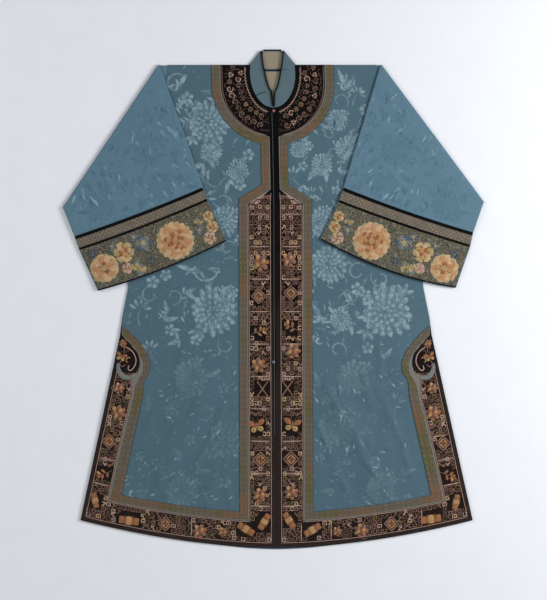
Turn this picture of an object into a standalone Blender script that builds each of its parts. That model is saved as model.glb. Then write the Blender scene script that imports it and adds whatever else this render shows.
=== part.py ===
# A side-slit robe of damask silk with black embroidered borders, laid flat with its front up.
# Both sleeves are folded forward over the front, so that their back faces show.
# Left and right are those of someone who looks down on the robe. Metres, +Z up, hem towards -Y.
import math

import bmesh
import bpy
from mathutils import Vector

# Driving dimensions. A point of the robe is (u, v): u out from its centre line, v down from its
# shoulder line.
SHOULDER_Y = 0.6084
LENGTH = 1.2545
HALF_HEM = 0.5096
HEM_RISE = 0.0715
HEM_BEND = 1.8
SLIT_TOP = 0.70

PANEL = 0.0015
TRIM = 0.0010
SEAM_GAP = 0.0003
FRONT_GAP = 0.0012
BACK_PEEP = 0.004

NECK_HALF = 0.061
NECK_LEVEL = 0.0208
NECK_DEPTH = 0.1134
NECK_PIPE = 0.0016
NECK_ROOM = 0.0021
NECK_EDGE = NECK_DEPTH + NECK_ROOM

YOKE_LEVEL = 0.0494
YOKE_REACH = 0.159
RIBBON = 0.0205
BRAID = 0.0035
BINDING = 0.0112
NARROW = 0.0352
WIDE = 0.0952
FLARE_TOP = 0.312
FLARE_END = 0.348
FLARE_SHIFT = 0.56
BAND_TOP = 0.324
HEM_BINDING = 0.0105
HEM_BAND = 0.057
HEM_RIBBON = 0.0195
SIDE_BINDING = 0.0104
LEAST = 0.0006
BLUE_COLUMNS = 5

TRIM_ROOM = 0.0005
BACK_Z = 0.0
FRONT_Z = BACK_Z + PANEL + SEAM_GAP
TRIM_Z = FRONT_Z + PANEL + TRIM_ROOM
FOLD_AXIS = FRONT_Z + PANEL + 2 * SEAM_GAP

COLLAR = 0.0014
COLLAR_LOW = 0.00075
COLLAR_HIGH = 0.0047
COLLAR_PIPE = 0.0013
BACK_PIPE = 0.00095
BUTTON = 0.0040
BUTTON_SQUASH = 0.6

# How the laid robe's centre line bows: distance down, sideways place.
CENTRE_LINE = ((0.0, -0.0022), (0.21, 0.0028), (0.35, 0.0054), (1.18, 0.0085))

# The side of the body: distance down, half width. It starts with the armhole and ends in the slit's edge.
SHOULDER = 0.270
ARM_TOP = 0.0013
ARM_END = 0.372
CORNER = 1.183
SIDE = ((0.0, SHOULDER), (ARM_END, 0.357), (0.585, 0.385), (0.66, 0.400), (SLIT_TOP, 0.4045), (CORNER, HALF_HEM))
# Levels of the back's outline points up its side, and its neck edge as u and v.
BACK_SIDE = (CORNER, 0.9, SLIT_TOP, 0.66, 0.585, ARM_END, 0.35, 0.21, 0.1, 0.0)
BACK_NECK = ((NECK_HALF, 0.0), (0.045, 0.0105), (0.025, 0.0140))

# The cloud head at the slit's top: distance down, then how far in from the side each strip reaches.
CLOUD_TOP = 0.6786
CLOUD = (
    # down, binding, band, braid, ribbon
    (CLOUD_TOP, 0.0010, 0.0020, 0.0030, 0.0040),
    (0.702, 0.0035, 0.0050, 0.0080, 0.0330),
    (0.728, 0.0085, 0.0354, 0.0400, 0.0614),
    (0.754, SIDE_BINDING, 0.0577, 0.0640, 0.0837),
    (0.775, SIDE_BINDING, 0.0686, 0.0777, 0.0946),
    (0.798, SIDE_BINDING, 0.0670, 0.0800, 0.0983),
    (0.819, SIDE_BINDING, 0.0570, 0.0728, 0.0884),
    (0.835, SIDE_BINDING, 0.0590, 0.0684, 0.0892),
    (0.860, SIDE_BINDING, 0.0640, 0.0705, 0.0938),
    (1.000, SIDE_BINDING, 0.0611, 0.0665, 0.0936),
)

# Levels of the fronts' cross rows above the hem's own rows, down the centre line.
YOKE_FOOT = 0.187
ROWS = (0.0, 0.03, 0.06, 0.085, 0.102, 0.111, NECK_EDGE, 0.14, 0.16, 0.175, YOKE_FOOT, 0.196, 0.2045, 0.25,
        FLARE_TOP, BAND_TOP, FLARE_END, 0.362, 0.43, 0.50, 0.57, 0.63, CLOUD_TOP, 0.702, 0.728, 0.754, 0.775,
        0.798, 0.819, 0.835, 0.86, 0.93, 1.0, 1.07, 1.13)

# The largest soft creases of the fronts: place, direction in degrees from +X, half length, half width and
# height. They fade out under the sleeves, which press the fronts flat.
PRESSED_END = 0.64
FREE_START = 0.72
CREASES = (
    # u, v, turn, reach, width, height
    (0.17, 0.90, -62, 0.080, 0.030, 0.0022),
    (0.22, 0.97, -60, 0.070, 0.032, 0.0018),
    (0.26, 1.09, -55, 0.060, 0.034, 0.0020),
    (0.33, 0.80, -70, 0.070, 0.034, 0.0014),
    (-0.19, 0.86, -115, 0.080, 0.034, 0.0017),
    (-0.27, 1.00, -120, 0.090, 0.036, 0.0015),
    (-0.17, 1.10, -100, 0.060, 0.032, 0.0014),
    (-0.33, 0.74, -105, 0.070, 0.036, 0.0013),
)

# Lines across each folded sleeve, from its inner end to its outer end: u and v of both, then the bow down.
SLEEVES = {
    "left": {
        "fold": (0.2930, 0.0013, 0.5504, 0.374, 0.0),
        "stripe": (0.1872, 0.3185, 0.5223, 0.4459, 0.004),
        "inner_stripe": (0.1748, 0.3510, 0.5107, 0.4797, 0.005),
        "cuff": (0.1258, 0.4576, 0.4617, 0.5876, 0.010),
    },
    "right": {
        "fold": (0.2800, 0.0013, 0.5400, 0.360, 0.0),
        "stripe": (0.1768, 0.3185, 0.5139, 0.4355, 0.005),
        "inner_stripe": (0.1632, 0.3549, 0.5060, 0.4719, 0.004),
        "cuff": (0.1160, 0.4537, 0.4680, 0.5798, 0.019),
    },
}
SLEEVE_LINES = ("fold", "stripe", "inner_stripe", "cuff")
# Stations down a folded sleeve, one unit between two lines, and the strips of its cuff between stations.
STATIONS = (0.0, 0.25, 0.5, 0.75, 1.0, 1.17, 1.88, 2.04, 2.36, 2.67, 2.965, 3.0)
CUFF_STRIPS = (
    # name, first station, last station
    ("cuff_stripe_upper", 4, 5),
    ("cuff_braid", 5, 6),
    ("cuff_stripe_lower", 6, 7),
    ("cuff_band", 7, 10),
    ("cuff_binding", 10, 11),
)
SLEEVE_COLUMNS = 7
SLEEVE_HALF = PANEL + SEAM_GAP / 2
SLEEVE_HOLLOW = SEAM_GAP / 2
DROOP = 0.0034
DROOP_START = 0.040
DROOP_END = 0.110

# The pressed collar from its front end round to the back: level on the neck, top edge u and v, and the
# turn of the fold at the side of the neck.
COLLAR_STATIONS = (
    (NECK_EDGE, 0.0045, 0.0720, 180),
    (0.111, 0.0090, 0.0630, 180),
    (0.102, 0.0140, 0.0490, 180),
    (0.085, 0.0185, 0.0300, 180),
    (0.06, 0.0228, 0.0080, 180),
    (0.03, 0.0262, -0.0140, 180),
    (0.0, 0.0285, -0.0350, 180),
    (0.0, 0.0285, -0.0350, 120),
    (0.0, 0.0285, -0.0350, 60),
    (0.0, 0.0285, -0.0350, 0),
)
# The collar's back, under the opening: neck edge u and v, top edge u and v.
COLLAR_BACK = ((0.0300, 0.0110, 0.0150, -0.0370), (0.0, 0.0130, 0.0, -0.0375))

COLOURS = {
    # name: colour, roughness
    "silk": ((0.09, 0.16, 0.19), 0.42),
    "satin": ((0.012, 0.012, 0.015), 0.45),
    "embroidery": ((0.10, 0.055, 0.035), 0.7),
    "ribbon": ((0.10, 0.085, 0.055), 0.7),
    "braid": ((0.35, 0.36, 0.36), 0.6),
    "gold": ((0.24, 0.18, 0.10), 0.6),
    "flowers": ((0.22, 0.17, 0.11), 0.75),
    "lining": ((0.42, 0.37, 0.28), 0.6),
    "knot": ((0.42, 0.22, 0.20), 0.5),
}


def clear_scene():
    for thing in list(bpy.data.objects):
        bpy.data.objects.remove(thing, do_unlink=True)


def material(name):
    made = bpy.data.materials.get(name)
    if made is None:
        made = bpy.data.materials.new(name)
        made.use_nodes = True
        shader = made.node_tree.nodes["Principled BSDF"]
        colour, roughness = COLOURS[name]
        shader.inputs["Base Color"].default_value = (*colour, 1.0)
        shader.inputs["Roughness"].default_value = roughness
        shader.inputs["Metallic"].default_value = 0.0
    return made


def along(table, at, column=1):
    """A value read from a table whose first column rises, straight between its rows."""
    if at <= table[0][0]:
        return table[0][column]
    for low, high in zip(table, table[1:]):
        if at <= high[0]:
            share = (at - low[0]) / (high[0] - low[0])
            return low[column] + share * (high[column] - low[column])
    return table[-1][column]


def smooth(low, high, at):
    share = min(1.0, max(0.0, (at - low) / (high - low)))
    return share * share * (3 - 2 * share)


def place(side, u, v, z=0.0):
    """A point of the robe's left or right half in the row's frame."""
    sign = -1 if side == "left" else 1
    return Vector((along(CENTRE_LINE, v) + sign * u, SHOULDER_Y - v, z))


def relief(side, u, v):
    """Height of the fronts' creases over the flat, none near the sleeves that press them down."""
    signed = -u if side == "left" else u
    height = 0.0
    for at_u, at_v, turn, reach, width, rise in CREASES:
        du, dv = signed - at_u, at_v - v
        ax, ay = math.cos(math.radians(turn)), math.sin(math.radians(turn))
        run, across = du * ax + dv * ay, dv * ax - du * ay
        height += rise * math.exp(-(run / reach) ** 2 - (across / width) ** 2)
    return height * smooth(PRESSED_END, FREE_START, v)


def neck(v, room=0.0):
    """Half width of the neckline at a level, or of the line with some room round it."""
    inside = 1 - ((v - NECK_LEVEL) / (NECK_DEPTH - NECK_LEVEL + room)) ** 2
    return (NECK_HALF + room) * math.sqrt(max(0.0, inside))


def front_line(inset, v):
    """The ribbon's outer edge round the yoke and down the front, moved in by an inset."""
    reach, narrow, wide = YOKE_REACH - inset, NARROW - inset, WIDE - inset
    drop = max(0.0, v - YOKE_LEVEL)
    circle = math.sqrt(max(0.0, reach ** 2 - drop ** 2))
    shift = FLARE_SHIFT * inset
    share = (v - FLARE_TOP - shift) / (FLARE_END - FLARE_TOP)
    return max(circle, narrow + (wide - narrow) * min(1.0, max(0.0, share)))


def front_columns(v):
    """Half widths of the columns' lines at a level, from the front edge out to the side."""
    edge = max(FRONT_GAP, neck(v, NECK_ROOM))
    binding = max(BINDING, edge + LEAST)
    band = max(front_line(RIBBON + BRAID, v), binding + LEAST)
    braid = max(front_line(RIBBON, v), band + LEAST)
    ribbon = max(front_line(0.0, v), braid + LEAST)
    side = along(SIDE, v)
    insets = [along(CLOUD, v, column) for column in (4, 3, 2, 1)]
    outer = [side - inset for inset in insets] + [side]
    inner = [edge, binding, band, braid, ribbon]
    step = (outer[0] - ribbon) / (BLUE_COLUMNS + 1)
    blue = [ribbon + step * count for count in range(1, BLUE_COLUMNS + 1)]
    return inner + blue + outer


def row_levels():
    """Levels of the rows on the centre line, the hem's own strips last."""
    hem = [LENGTH]
    for width in (HEM_BINDING, HEM_BAND, BRAID, HEM_RIBBON):
        hem.insert(0, hem[0] - width)
    return list(ROWS) + hem


def front_grid():
    """The fronts' (u, v) points: the rows bend with the hem, the columns keep to their lines."""
    levels = row_levels()
    count = len(front_columns(levels[0]))
    grid = []
    for level in levels:
        bend = HEM_RISE * smooth(SLIT_TOP, levels[len(ROWS)], level)
        row = []
        for column in range(count):
            v = level
            for _ in range(6):
                u = front_columns(v)[column]
                v = level - bend * (u / HALF_HEM) ** HEM_BEND
            row.append((u, v))
        grid.append(row)
    return grid


def strip_cells(grid):
    """Which cells (row, column) belong to each strip that lies on a front."""
    rows, columns = len(grid) - 1, len(grid[0]) - 1
    slit = ROWS.index(CLOUD_TOP)
    cells = {"binding": set(), "yoke": set(), "border": set(), "braid": set(), "ribbon": set()}
    below_neck = ROWS.index(NECK_EDGE)
    band_top = ROWS.index(BAND_TOP)
    yoke_end = ROWS.index(YOKE_FOOT)
    for row in range(rows):
        for column in range(columns):
            ring = min(column, rows - 1 - row)
            if row >= slit:
                ring = min(ring, columns - 1 - column)
            if ring == 0 and (column > 0 or row >= below_neck):
                cells["binding"].add((row, column))
            elif ring == 0 or (ring == 1 and row < yoke_end):
                cells["yoke"].add((row, column))
            elif ring == 1 and row >= band_top:
                cells["border"].add((row, column))
            elif ring == 2:
                cells["braid"].add((row, column))
            elif ring == 3:
                cells["ribbon"].add((row, column))
    return cells


def finish(name, bm, look, thickness=None, offset=1.0):
    """Name a mesh, give it its material and, where it is an open sheet, its thickness."""
    mesh = bpy.data.meshes.new(name)
    bm.to_mesh(mesh)
    bm.free()
    made = bpy.data.objects.new(name, mesh)
    made.data.materials.append(material(look))
    robe.objects.link(made)
    if thickness:
        solid = made.modifiers.new("thickness", "SOLIDIFY")
        solid.thickness = thickness
        solid.offset = offset
        solid.use_rim = True
    return made


def ease(bm, gap):
    """Draw a sheet's border in by half a seam gap, so that neighbours stay apart."""
    normals = {}
    for edge in bm.edges:
        if len(edge.link_faces) == 1:
            a, b = (vertex.co for vertex in edge.verts)
            inward = Vector((a.y - b.y, b.x - a.x, 0.0)).normalized()
            if inward.dot(edge.link_faces[0].calc_center_median() - (a + b) / 2) < 0:
                inward.negate()
            for vertex in edge.verts:
                normals.setdefault(vertex, []).append(inward)
    for vertex, found in normals.items():
        total = sum(found, Vector())
        scale = max(0.5, 1 + found[0].dot(found[-1]))
        vertex.co += total * gap / scale


def sheet(name, points, cells, look, thickness, gap=SEAM_GAP / 2, offset=1.0):
    """A wall of cloth from some cells of a grid of points, its underside on them."""
    bm = bmesh.new()
    kept = {}
    for row, column in sorted(cells):
        corners = []
        for key in ((row, column), (row + 1, column), (row + 1, column + 1), (row, column + 1)):
            if key not in kept:
                kept[key] = bm.verts.new(points[key[0]][key[1]])
            corners.append(kept[key])
        bm.faces.new(corners)
    bmesh.ops.recalc_face_normals(bm, faces=bm.faces)
    if sum(face.normal.z for face in bm.faces) < 0:
        bmesh.ops.reverse_faces(bm, faces=bm.faces)
    ease(bm, gap)
    return finish(name, bm, look, thickness, offset)


def build_fronts():
    grid = front_grid()
    everything = {(row, column) for row in range(len(grid) - 1) for column in range(len(grid[0]) - 1)}
    looks = {"binding": "satin", "yoke": "embroidery", "border": "embroidery", "braid": "braid",
             "ribbon": "ribbon"}
    for side in ("left", "right"):
        floor = [[place(side, u, v, FRONT_Z + relief(side, u, v)) for u, v in row] for row in grid]
        sheet(f"front_{side}", floor, everything, "silk", PANEL)
        lift = Vector((0, 0, TRIM_Z - FRONT_Z))
        top = [[point + lift for point in row] for row in floor]
        for strip, cells in strip_cells(grid).items():
            sheet(f"{strip}_{side}", top, cells, looks[strip], TRIM)


def hem_outline(side):
    """Points of one half's back from the centre of the hem out, up the side and in to the neck."""
    grid = front_grid()
    hem = [(u, v + BACK_PEEP * smooth(0.5, 0.0, u / HALF_HEM)) for u, v in grid[-1][1::2]]
    side_line = [(along(SIDE, v), v) for v in BACK_SIDE]
    return [place(side, u, v, BACK_Z) for u, v in hem[:-1] + side_line + list(BACK_NECK)]


def build_back():
    right = hem_outline("right")
    left = hem_outline("left")
    bm = bmesh.new()
    ring = [bm.verts.new(point) for point in right + left[::-1]]
    face = bm.faces.new(ring)
    face.normal_update()
    if face.normal.z < 0:
        face.normal_flip()
    finish("back_panel", bm, "silk", PANEL)


def sleeve_point(side, station, share):
    """A folded sleeve's (u, v) at a station, and at a share of the way from its inner to its outer end."""
    lines = [SLEEVES[side][name] for name in SLEEVE_LINES]
    first = min(int(station), len(lines) - 2)
    part = station - first
    low, high = lines[first], lines[first + 1]
    inner_u, inner_v, outer_u, outer_v, bow = (a + part * (b - a) for a, b in zip(low, high))
    u = inner_u + share * (outer_u - inner_u)
    v = inner_v + share * (outer_v - inner_v) + bow * 4 * share * (1 - share)
    return u, v


def droop(side, u, v):
    """How far a folded sleeve sinks where neither the body nor the sleeve's lower part is under it."""
    fold = SLEEVES[side]["fold"]
    outside = min(u - along(SIDE, v), v - fold[3])
    return DROOP * smooth(DROOP_START, DROOP_END, outside)


def sleeve_ring():
    """The flattened sleeve's cross-section: share of the width, then sideways and upward parts of its radius."""
    shares = [count / SLEEVE_COLUMNS for count in range(SLEEVE_COLUMNS + 1)]
    turns = (45, 0, -45)
    ring = [(share, 0.0, -1.0) for share in shares]
    ring += [(1.0, math.cos(math.radians(turn)), -math.sin(math.radians(turn))) for turn in turns]
    ring += [(share, 0.0, 1.0) for share in reversed(shares)]
    ring += [(0.0, -math.cos(math.radians(turn)), math.sin(math.radians(turn))) for turn in turns]
    return ring


def sleeve_spot(side, station, share, sideways, upward, radius, turn):
    """A point of a sleeve's wall. The turn is 0 below the fold, 180 above it, and between on the fold."""
    ends = []
    for end in (0.0, share, 1.0):
        u, v = sleeve_point(side, max(0.0, station), end)
        if station < 0:
            arm_v = ARM_TOP + end * (ARM_END - ARM_TOP)
            arm_u = along(SIDE, arm_v) + 2 * SEAM_GAP
            u -= station * (arm_u - u)
            v -= station * (arm_v - v)
        ends.append(Vector((u, v)))
    across = (ends[2] - ends[0]).normalized()
    u, v = ends[1]
    inset = SLEEVE_HALF * (1 - 2 * share)
    u += across.x * (inset + sideways * radius)
    v += across.y * (inset + sideways * radius)
    reach = FOLD_AXIS - (SLEEVE_HALF + upward * radius)
    out = Vector((across.y, -across.x))
    swing = math.sin(math.radians(turn)) * reach
    u += out.x * swing
    v += out.y * swing
    z = FOLD_AXIS - reach * math.cos(math.radians(turn))
    if turn == 180:
        z -= droop(side, u, v)
    return place(side, u, v, z)


def sleeve_layers(side, radius):
    """Rings of one surface of the sleeve's wall, from the armhole round the fold to the cuff."""
    places = [(-1.0, 0), (-0.5, 0), (0.0, 0), (0.0, 60), (0.0, 120)]
    places += [(station, 180) for station in STATIONS]
    return [[sleeve_spot(side, station, *spot, radius, turn) for spot in sleeve_ring()]
            for station, turn in places]


def build_sleeve(side):
    outer = sleeve_layers(side, SLEEVE_HALF)
    inner = sleeve_layers(side, SLEEVE_HOLLOW)
    bm = bmesh.new()
    walls = [[[bm.verts.new(point) for point in ring] for ring in layer] for layer in (outer, inner)]
    around = len(outer[0])
    for spot in range(around):
        other = (spot + 1) % around
        for low, high in zip(walls[0], walls[0][1:]):
            bm.faces.new((low[spot], low[other], high[other], high[spot]))
        for low, high in zip(walls[1], walls[1][1:]):
            bm.faces.new((low[other], low[spot], high[spot], high[other]))
        for end, first, last in ((0, other, spot), (-1, spot, other)):
            bm.faces.new((walls[0][end][first], walls[0][end][last],
                          walls[1][end][last], walls[1][end][first]))
    if bm.calc_volume(signed=True) < 0:
        bmesh.ops.reverse_faces(bm, faces=bm.faces)
    finish(f"sleeve_{side}", bm, "silk")
    looks = {"cuff_braid": "gold", "cuff_band": "flowers"}
    below_fold = len(outer) - len(STATIONS)
    lift = Vector((0, 0, TRIM_ROOM))
    top = [[point + lift for point in ring[:SLEEVE_COLUMNS + 1]] for ring in outer[below_fold:]]
    for name, first, last in CUFF_STRIPS:
        cells = {(row, column) for row in range(first, last) for column in range(SLEEVE_COLUMNS)}
        sheet(f"{name}_{side}", top, cells, looks.get(name, "satin"), TRIM)


def neck_point(v, inset):
    """The fronts' neck edge at a row's level, moved in towards the neck."""
    u = front_columns(v)[0]
    steep = (v - NECK_LEVEL) / (NECK_DEPTH - NECK_LEVEL + NECK_ROOM) ** 2
    inward = Vector((u / (NECK_HALF + NECK_ROOM) ** 2, steep)).normalized() * inset
    return u - inward.x, v - inward.y


def collar_spot(side, station, share):
    """A point of the pressed collar's middle surface, a share of the way from its neck to its top edge."""
    neck_u, neck_v, top_u, top_v, turn = station
    u = neck_u + share * (top_u - neck_u)
    v = neck_v + share * (top_v - neck_v)
    ruling = Vector((top_u - neck_u, top_v - neck_v)).normalized()
    reach = (COLLAR_HIGH - COLLAR_LOW) / 2
    swing = math.sin(math.radians(turn)) * reach
    z = (COLLAR_HIGH + COLLAR_LOW) / 2 - reach * math.cos(math.radians(turn))
    return place(side, u - ruling.y * swing, v + ruling.x * swing, z)


def build_collar():
    shares = (0.0, 0.33, 0.67, 1.0)
    stations = [(*neck_point(level, 2 * NECK_ROOM), *rest) for level, *rest in COLLAR_STATIONS]
    stations += [(*row, 0) for row in COLLAR_BACK]
    left = [[collar_spot("left", station, share) for share in shares] for station in stations]
    right = [[collar_spot("right", station, share) for share in shares] for station in stations]
    rings = left + right[-2::-1]
    cells = {(row, column) for row in range(len(rings) - 1) for column in range(len(shares) - 1)}
    sheet("collar", rings, cells, "silk", COLLAR, gap=0.0, offset=0.0)
    low = COLLAR_LOW + COLLAR / 2 + SEAM_GAP + TRIM / 2
    lining = [[place(side, u, v, low) for u, v in row]
              for side, row in (("left", ((0.040, 0.0075), (0.0245, -0.0335))),
                                ("left", ((0.0, 0.0105), (0.0, -0.0345))),
                                ("right", ((0.040, 0.0075), (0.0245, -0.0335))))]
    sheet("collar_lining", lining, {(0, 0), (1, 0)}, "lining", TRIM, offset=0.0)


def build_neck_lining():
    levels = (0.0175, 0.035, 0.055, 0.075, 0.095, 0.106)
    rows = []
    for v in levels:
        half = neck(v, -NECK_ROOM)
        rows.append([place(side, share * half, v, FRONT_Z)
                     for side, share in (("left", 1.0), ("left", 0.0), ("right", 1.0))])
    cells = {(row, column) for row in range(len(rows) - 1) for column in range(2)}
    sheet("neck_lining", rows, cells, "lining", TRIM)


def pipe(name, points, radius, look="satin"):
    """A round piping cord through some points, its ends closed."""
    curve = bpy.data.curves.new(name, "CURVE")
    curve.dimensions = "3D"
    curve.bevel_depth = radius
    curve.bevel_resolution = 1
    curve.use_fill_caps = True
    spline = curve.splines.new("POLY")
    spline.points.add(len(points) - 1)
    for target, point in zip(spline.points, points):
        target.co = (*point, 1.0)
    guide = bpy.data.objects.new(name + "_guide", curve)
    robe.objects.link(guide)
    mesh = bpy.data.meshes.new_from_object(guide.evaluated_get(bpy.context.evaluated_depsgraph_get()))
    bm = bmesh.new()
    bm.from_mesh(mesh)
    bmesh.ops.remove_doubles(bm, verts=bm.verts, dist=0.00001)
    bmesh.ops.recalc_face_normals(bm, faces=bm.faces)
    bpy.data.objects.remove(guide, do_unlink=True)
    return finish(name, bm, look)


def build_pipings():
    # Round the neck, in the narrow room between the yoke and the collar.
    for side in ("left", "right"):
        points = [neck_point(level, NECK_ROOM) for level in ROWS if level <= NECK_EDGE]
        pipe(f"neck_piping_{side}", [place(side, u, v, COLLAR_HIGH) for u, v in points], NECK_PIPE)
    low = BACK_Z + PANEL + SEAM_GAP + BACK_PIPE
    back = ((-0.036, 0.0112), (-0.018, 0.0140), (0.018, 0.0140), (0.036, 0.0112))
    pipe("neck_piping_back", [place("right", u, v, low) for u, v in back], BACK_PIPE)
    # Along the collar's top edge and down its two front ends.
    clear = COLLAR_PIPE + SEAM_GAP
    flap = [station for station in COLLAR_STATIONS if station[3] == 180]
    for side in ("left", "right"):
        path = [place(side, COLLAR_PIPE + SEAM_GAP / 2, NECK_DEPTH - 0.006, COLLAR_HIGH + COLLAR / 2 + clear)]
        for station in flap:
            path.append(place(side, station[1], station[2], COLLAR_HIGH + COLLAR / 2 + clear))
        pipe(f"collar_piping_{side}", path, COLLAR_PIPE)
    back = ((-0.0235, -0.0375), (0.0, -0.0380), (0.0235, -0.0375))
    pipe("collar_piping_back", [place("right", u, v - clear, COLLAR_PIPE) for u, v in back], COLLAR_PIPE)


def button(name, side, u, v, z, look):
    """A small knot button, a flattened ball."""
    bm = bmesh.new()
    bmesh.ops.create_uvsphere(bm, u_segments=10, v_segments=6, radius=BUTTON)
    bmesh.ops.scale(bm, vec=(1.0, 1.0, BUTTON_SQUASH), verts=bm.verts)
    bmesh.ops.translate(bm, vec=place(side, u, v, z + BUTTON_SQUASH * BUTTON), verts=bm.verts)
    finish(name, bm, look)


clear_scene()
robe = bpy.data.collections.new("robe")
bpy.context.scene.collection.children.link(robe)
build_back()
build_fronts()
for half in ("left", "right"):
    build_sleeve(half)
build_collar()
build_neck_lining()
build_pipings()
button("button_neck", "right", 0.0005, 0.1200, TRIM_Z + TRIM + 2 * SEAM_GAP, "knot")
button("button_front", "left", 0.0060, 0.7720, TRIM_Z + TRIM + 2 * SEAM_GAP, "satin")
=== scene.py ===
# %% [markdown]
# A side-slit silk robe with embroidered borders, laid flat with its front up.
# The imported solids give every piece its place. This script dresses them: each solid is replaced by a
# thin cloth piece of the same outline, with its weave, its needlework and its soft creases.

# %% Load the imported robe
import math
import random

import bmesh
import bpy
import numpy as np
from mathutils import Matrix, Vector
from mathutils.geometry import delaunay_2d_cdt


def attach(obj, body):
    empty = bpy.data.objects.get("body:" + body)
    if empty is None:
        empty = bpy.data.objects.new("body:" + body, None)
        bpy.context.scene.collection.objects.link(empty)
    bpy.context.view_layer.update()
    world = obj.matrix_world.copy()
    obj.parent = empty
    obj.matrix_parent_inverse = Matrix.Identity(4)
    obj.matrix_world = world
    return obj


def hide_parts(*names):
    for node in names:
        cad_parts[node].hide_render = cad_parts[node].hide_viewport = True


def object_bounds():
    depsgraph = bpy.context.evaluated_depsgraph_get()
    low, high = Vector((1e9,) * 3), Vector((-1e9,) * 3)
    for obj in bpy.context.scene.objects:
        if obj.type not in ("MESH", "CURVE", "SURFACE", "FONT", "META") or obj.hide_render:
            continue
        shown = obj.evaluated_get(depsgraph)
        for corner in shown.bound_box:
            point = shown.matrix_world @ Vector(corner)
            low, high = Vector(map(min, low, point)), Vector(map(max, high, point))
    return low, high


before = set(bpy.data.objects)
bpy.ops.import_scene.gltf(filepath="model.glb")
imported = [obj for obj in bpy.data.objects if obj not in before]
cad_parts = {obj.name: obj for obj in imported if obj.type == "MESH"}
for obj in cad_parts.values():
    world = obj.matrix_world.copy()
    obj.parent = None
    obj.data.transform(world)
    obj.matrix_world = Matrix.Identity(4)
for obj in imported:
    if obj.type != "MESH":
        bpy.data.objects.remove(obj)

bpy.context.view_layer.update()
cad_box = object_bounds()
scene = bpy.context.scene


def placed(name, data):
    """A new object of the scene."""
    made = bpy.data.objects.new(name, data)
    scene.collection.objects.link(made)
    return made


print("packed robe:", len(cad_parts), "pieces, box", cad_box)

# %% [markdown]
# The camera looks straight down from four metres, so the robe shows as a flat garment does on a table.
# A long lens keeps the sleeves, which lie a little higher than the hem, from leaning outwards.

# %% Camera over the robe
CAMERA_HEIGHT = 4.0
CAMERA_CENTRE = (0.00065, -0.0026)
FRAME_HEIGHT = 1.56
camera = placed("camera", bpy.data.cameras.new("camera"))
camera.location = (*CAMERA_CENTRE, CAMERA_HEIGHT)
camera.data.lens = camera.data.sensor_width * CAMERA_HEIGHT / FRAME_HEIGHT
scene.camera = camera
scene.view_settings.view_transform = "Standard"
print("lens", round(camera.data.lens, 1), "mm")

# %% [markdown]
# Silk shows its folds and its weave only when light rakes over it. One large soft light stands low at the
# upper right, a weaker one at the left opens the shadows, and a dim white sky fills the rest. Black satin
# would turn grey under a bright sky, so most of the light comes from the sides.

# %% Floor and lights
SKY = {"Color": (0.95, 0.97, 1.0, 1), "Strength": 0.26}
LAMPS = (
    # name, place, size, power
    ("key", (2.6, 0.45, 1.7), 1.3, 104),
    ("fill", (-2.6, 0.9, 2.1), 2.0, 44),
    ("foot", (-0.6, -2.8, 2.0), 2.0, 22),
)
for name, spot, size, power in LAMPS:
    lamp = bpy.data.lights.new(name, "AREA")
    lamp.size, lamp.energy = size, power
    made = placed(name, lamp)
    made.location = spot
    made.rotation_euler = (-Vector(spot)).to_track_quat("-Z", "Y").to_euler()
scene.world = bpy.data.worlds.new("sky")
scene.world.use_nodes = True
for name, amount in SKY.items():
    scene.world.node_tree.nodes["Background"].inputs[name].default_value = amount
print("lamps:", len(LAMPS))

# %% [markdown]
# A finish is worked out like a sum: a mask times a colour, plus some noise. The small class below holds one
# socket of a material, and Python's operators on it add the Math nodes. Colours and vectors keep their
# channels in Mix and Vector Math nodes, and every other node comes from one method, node.

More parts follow.
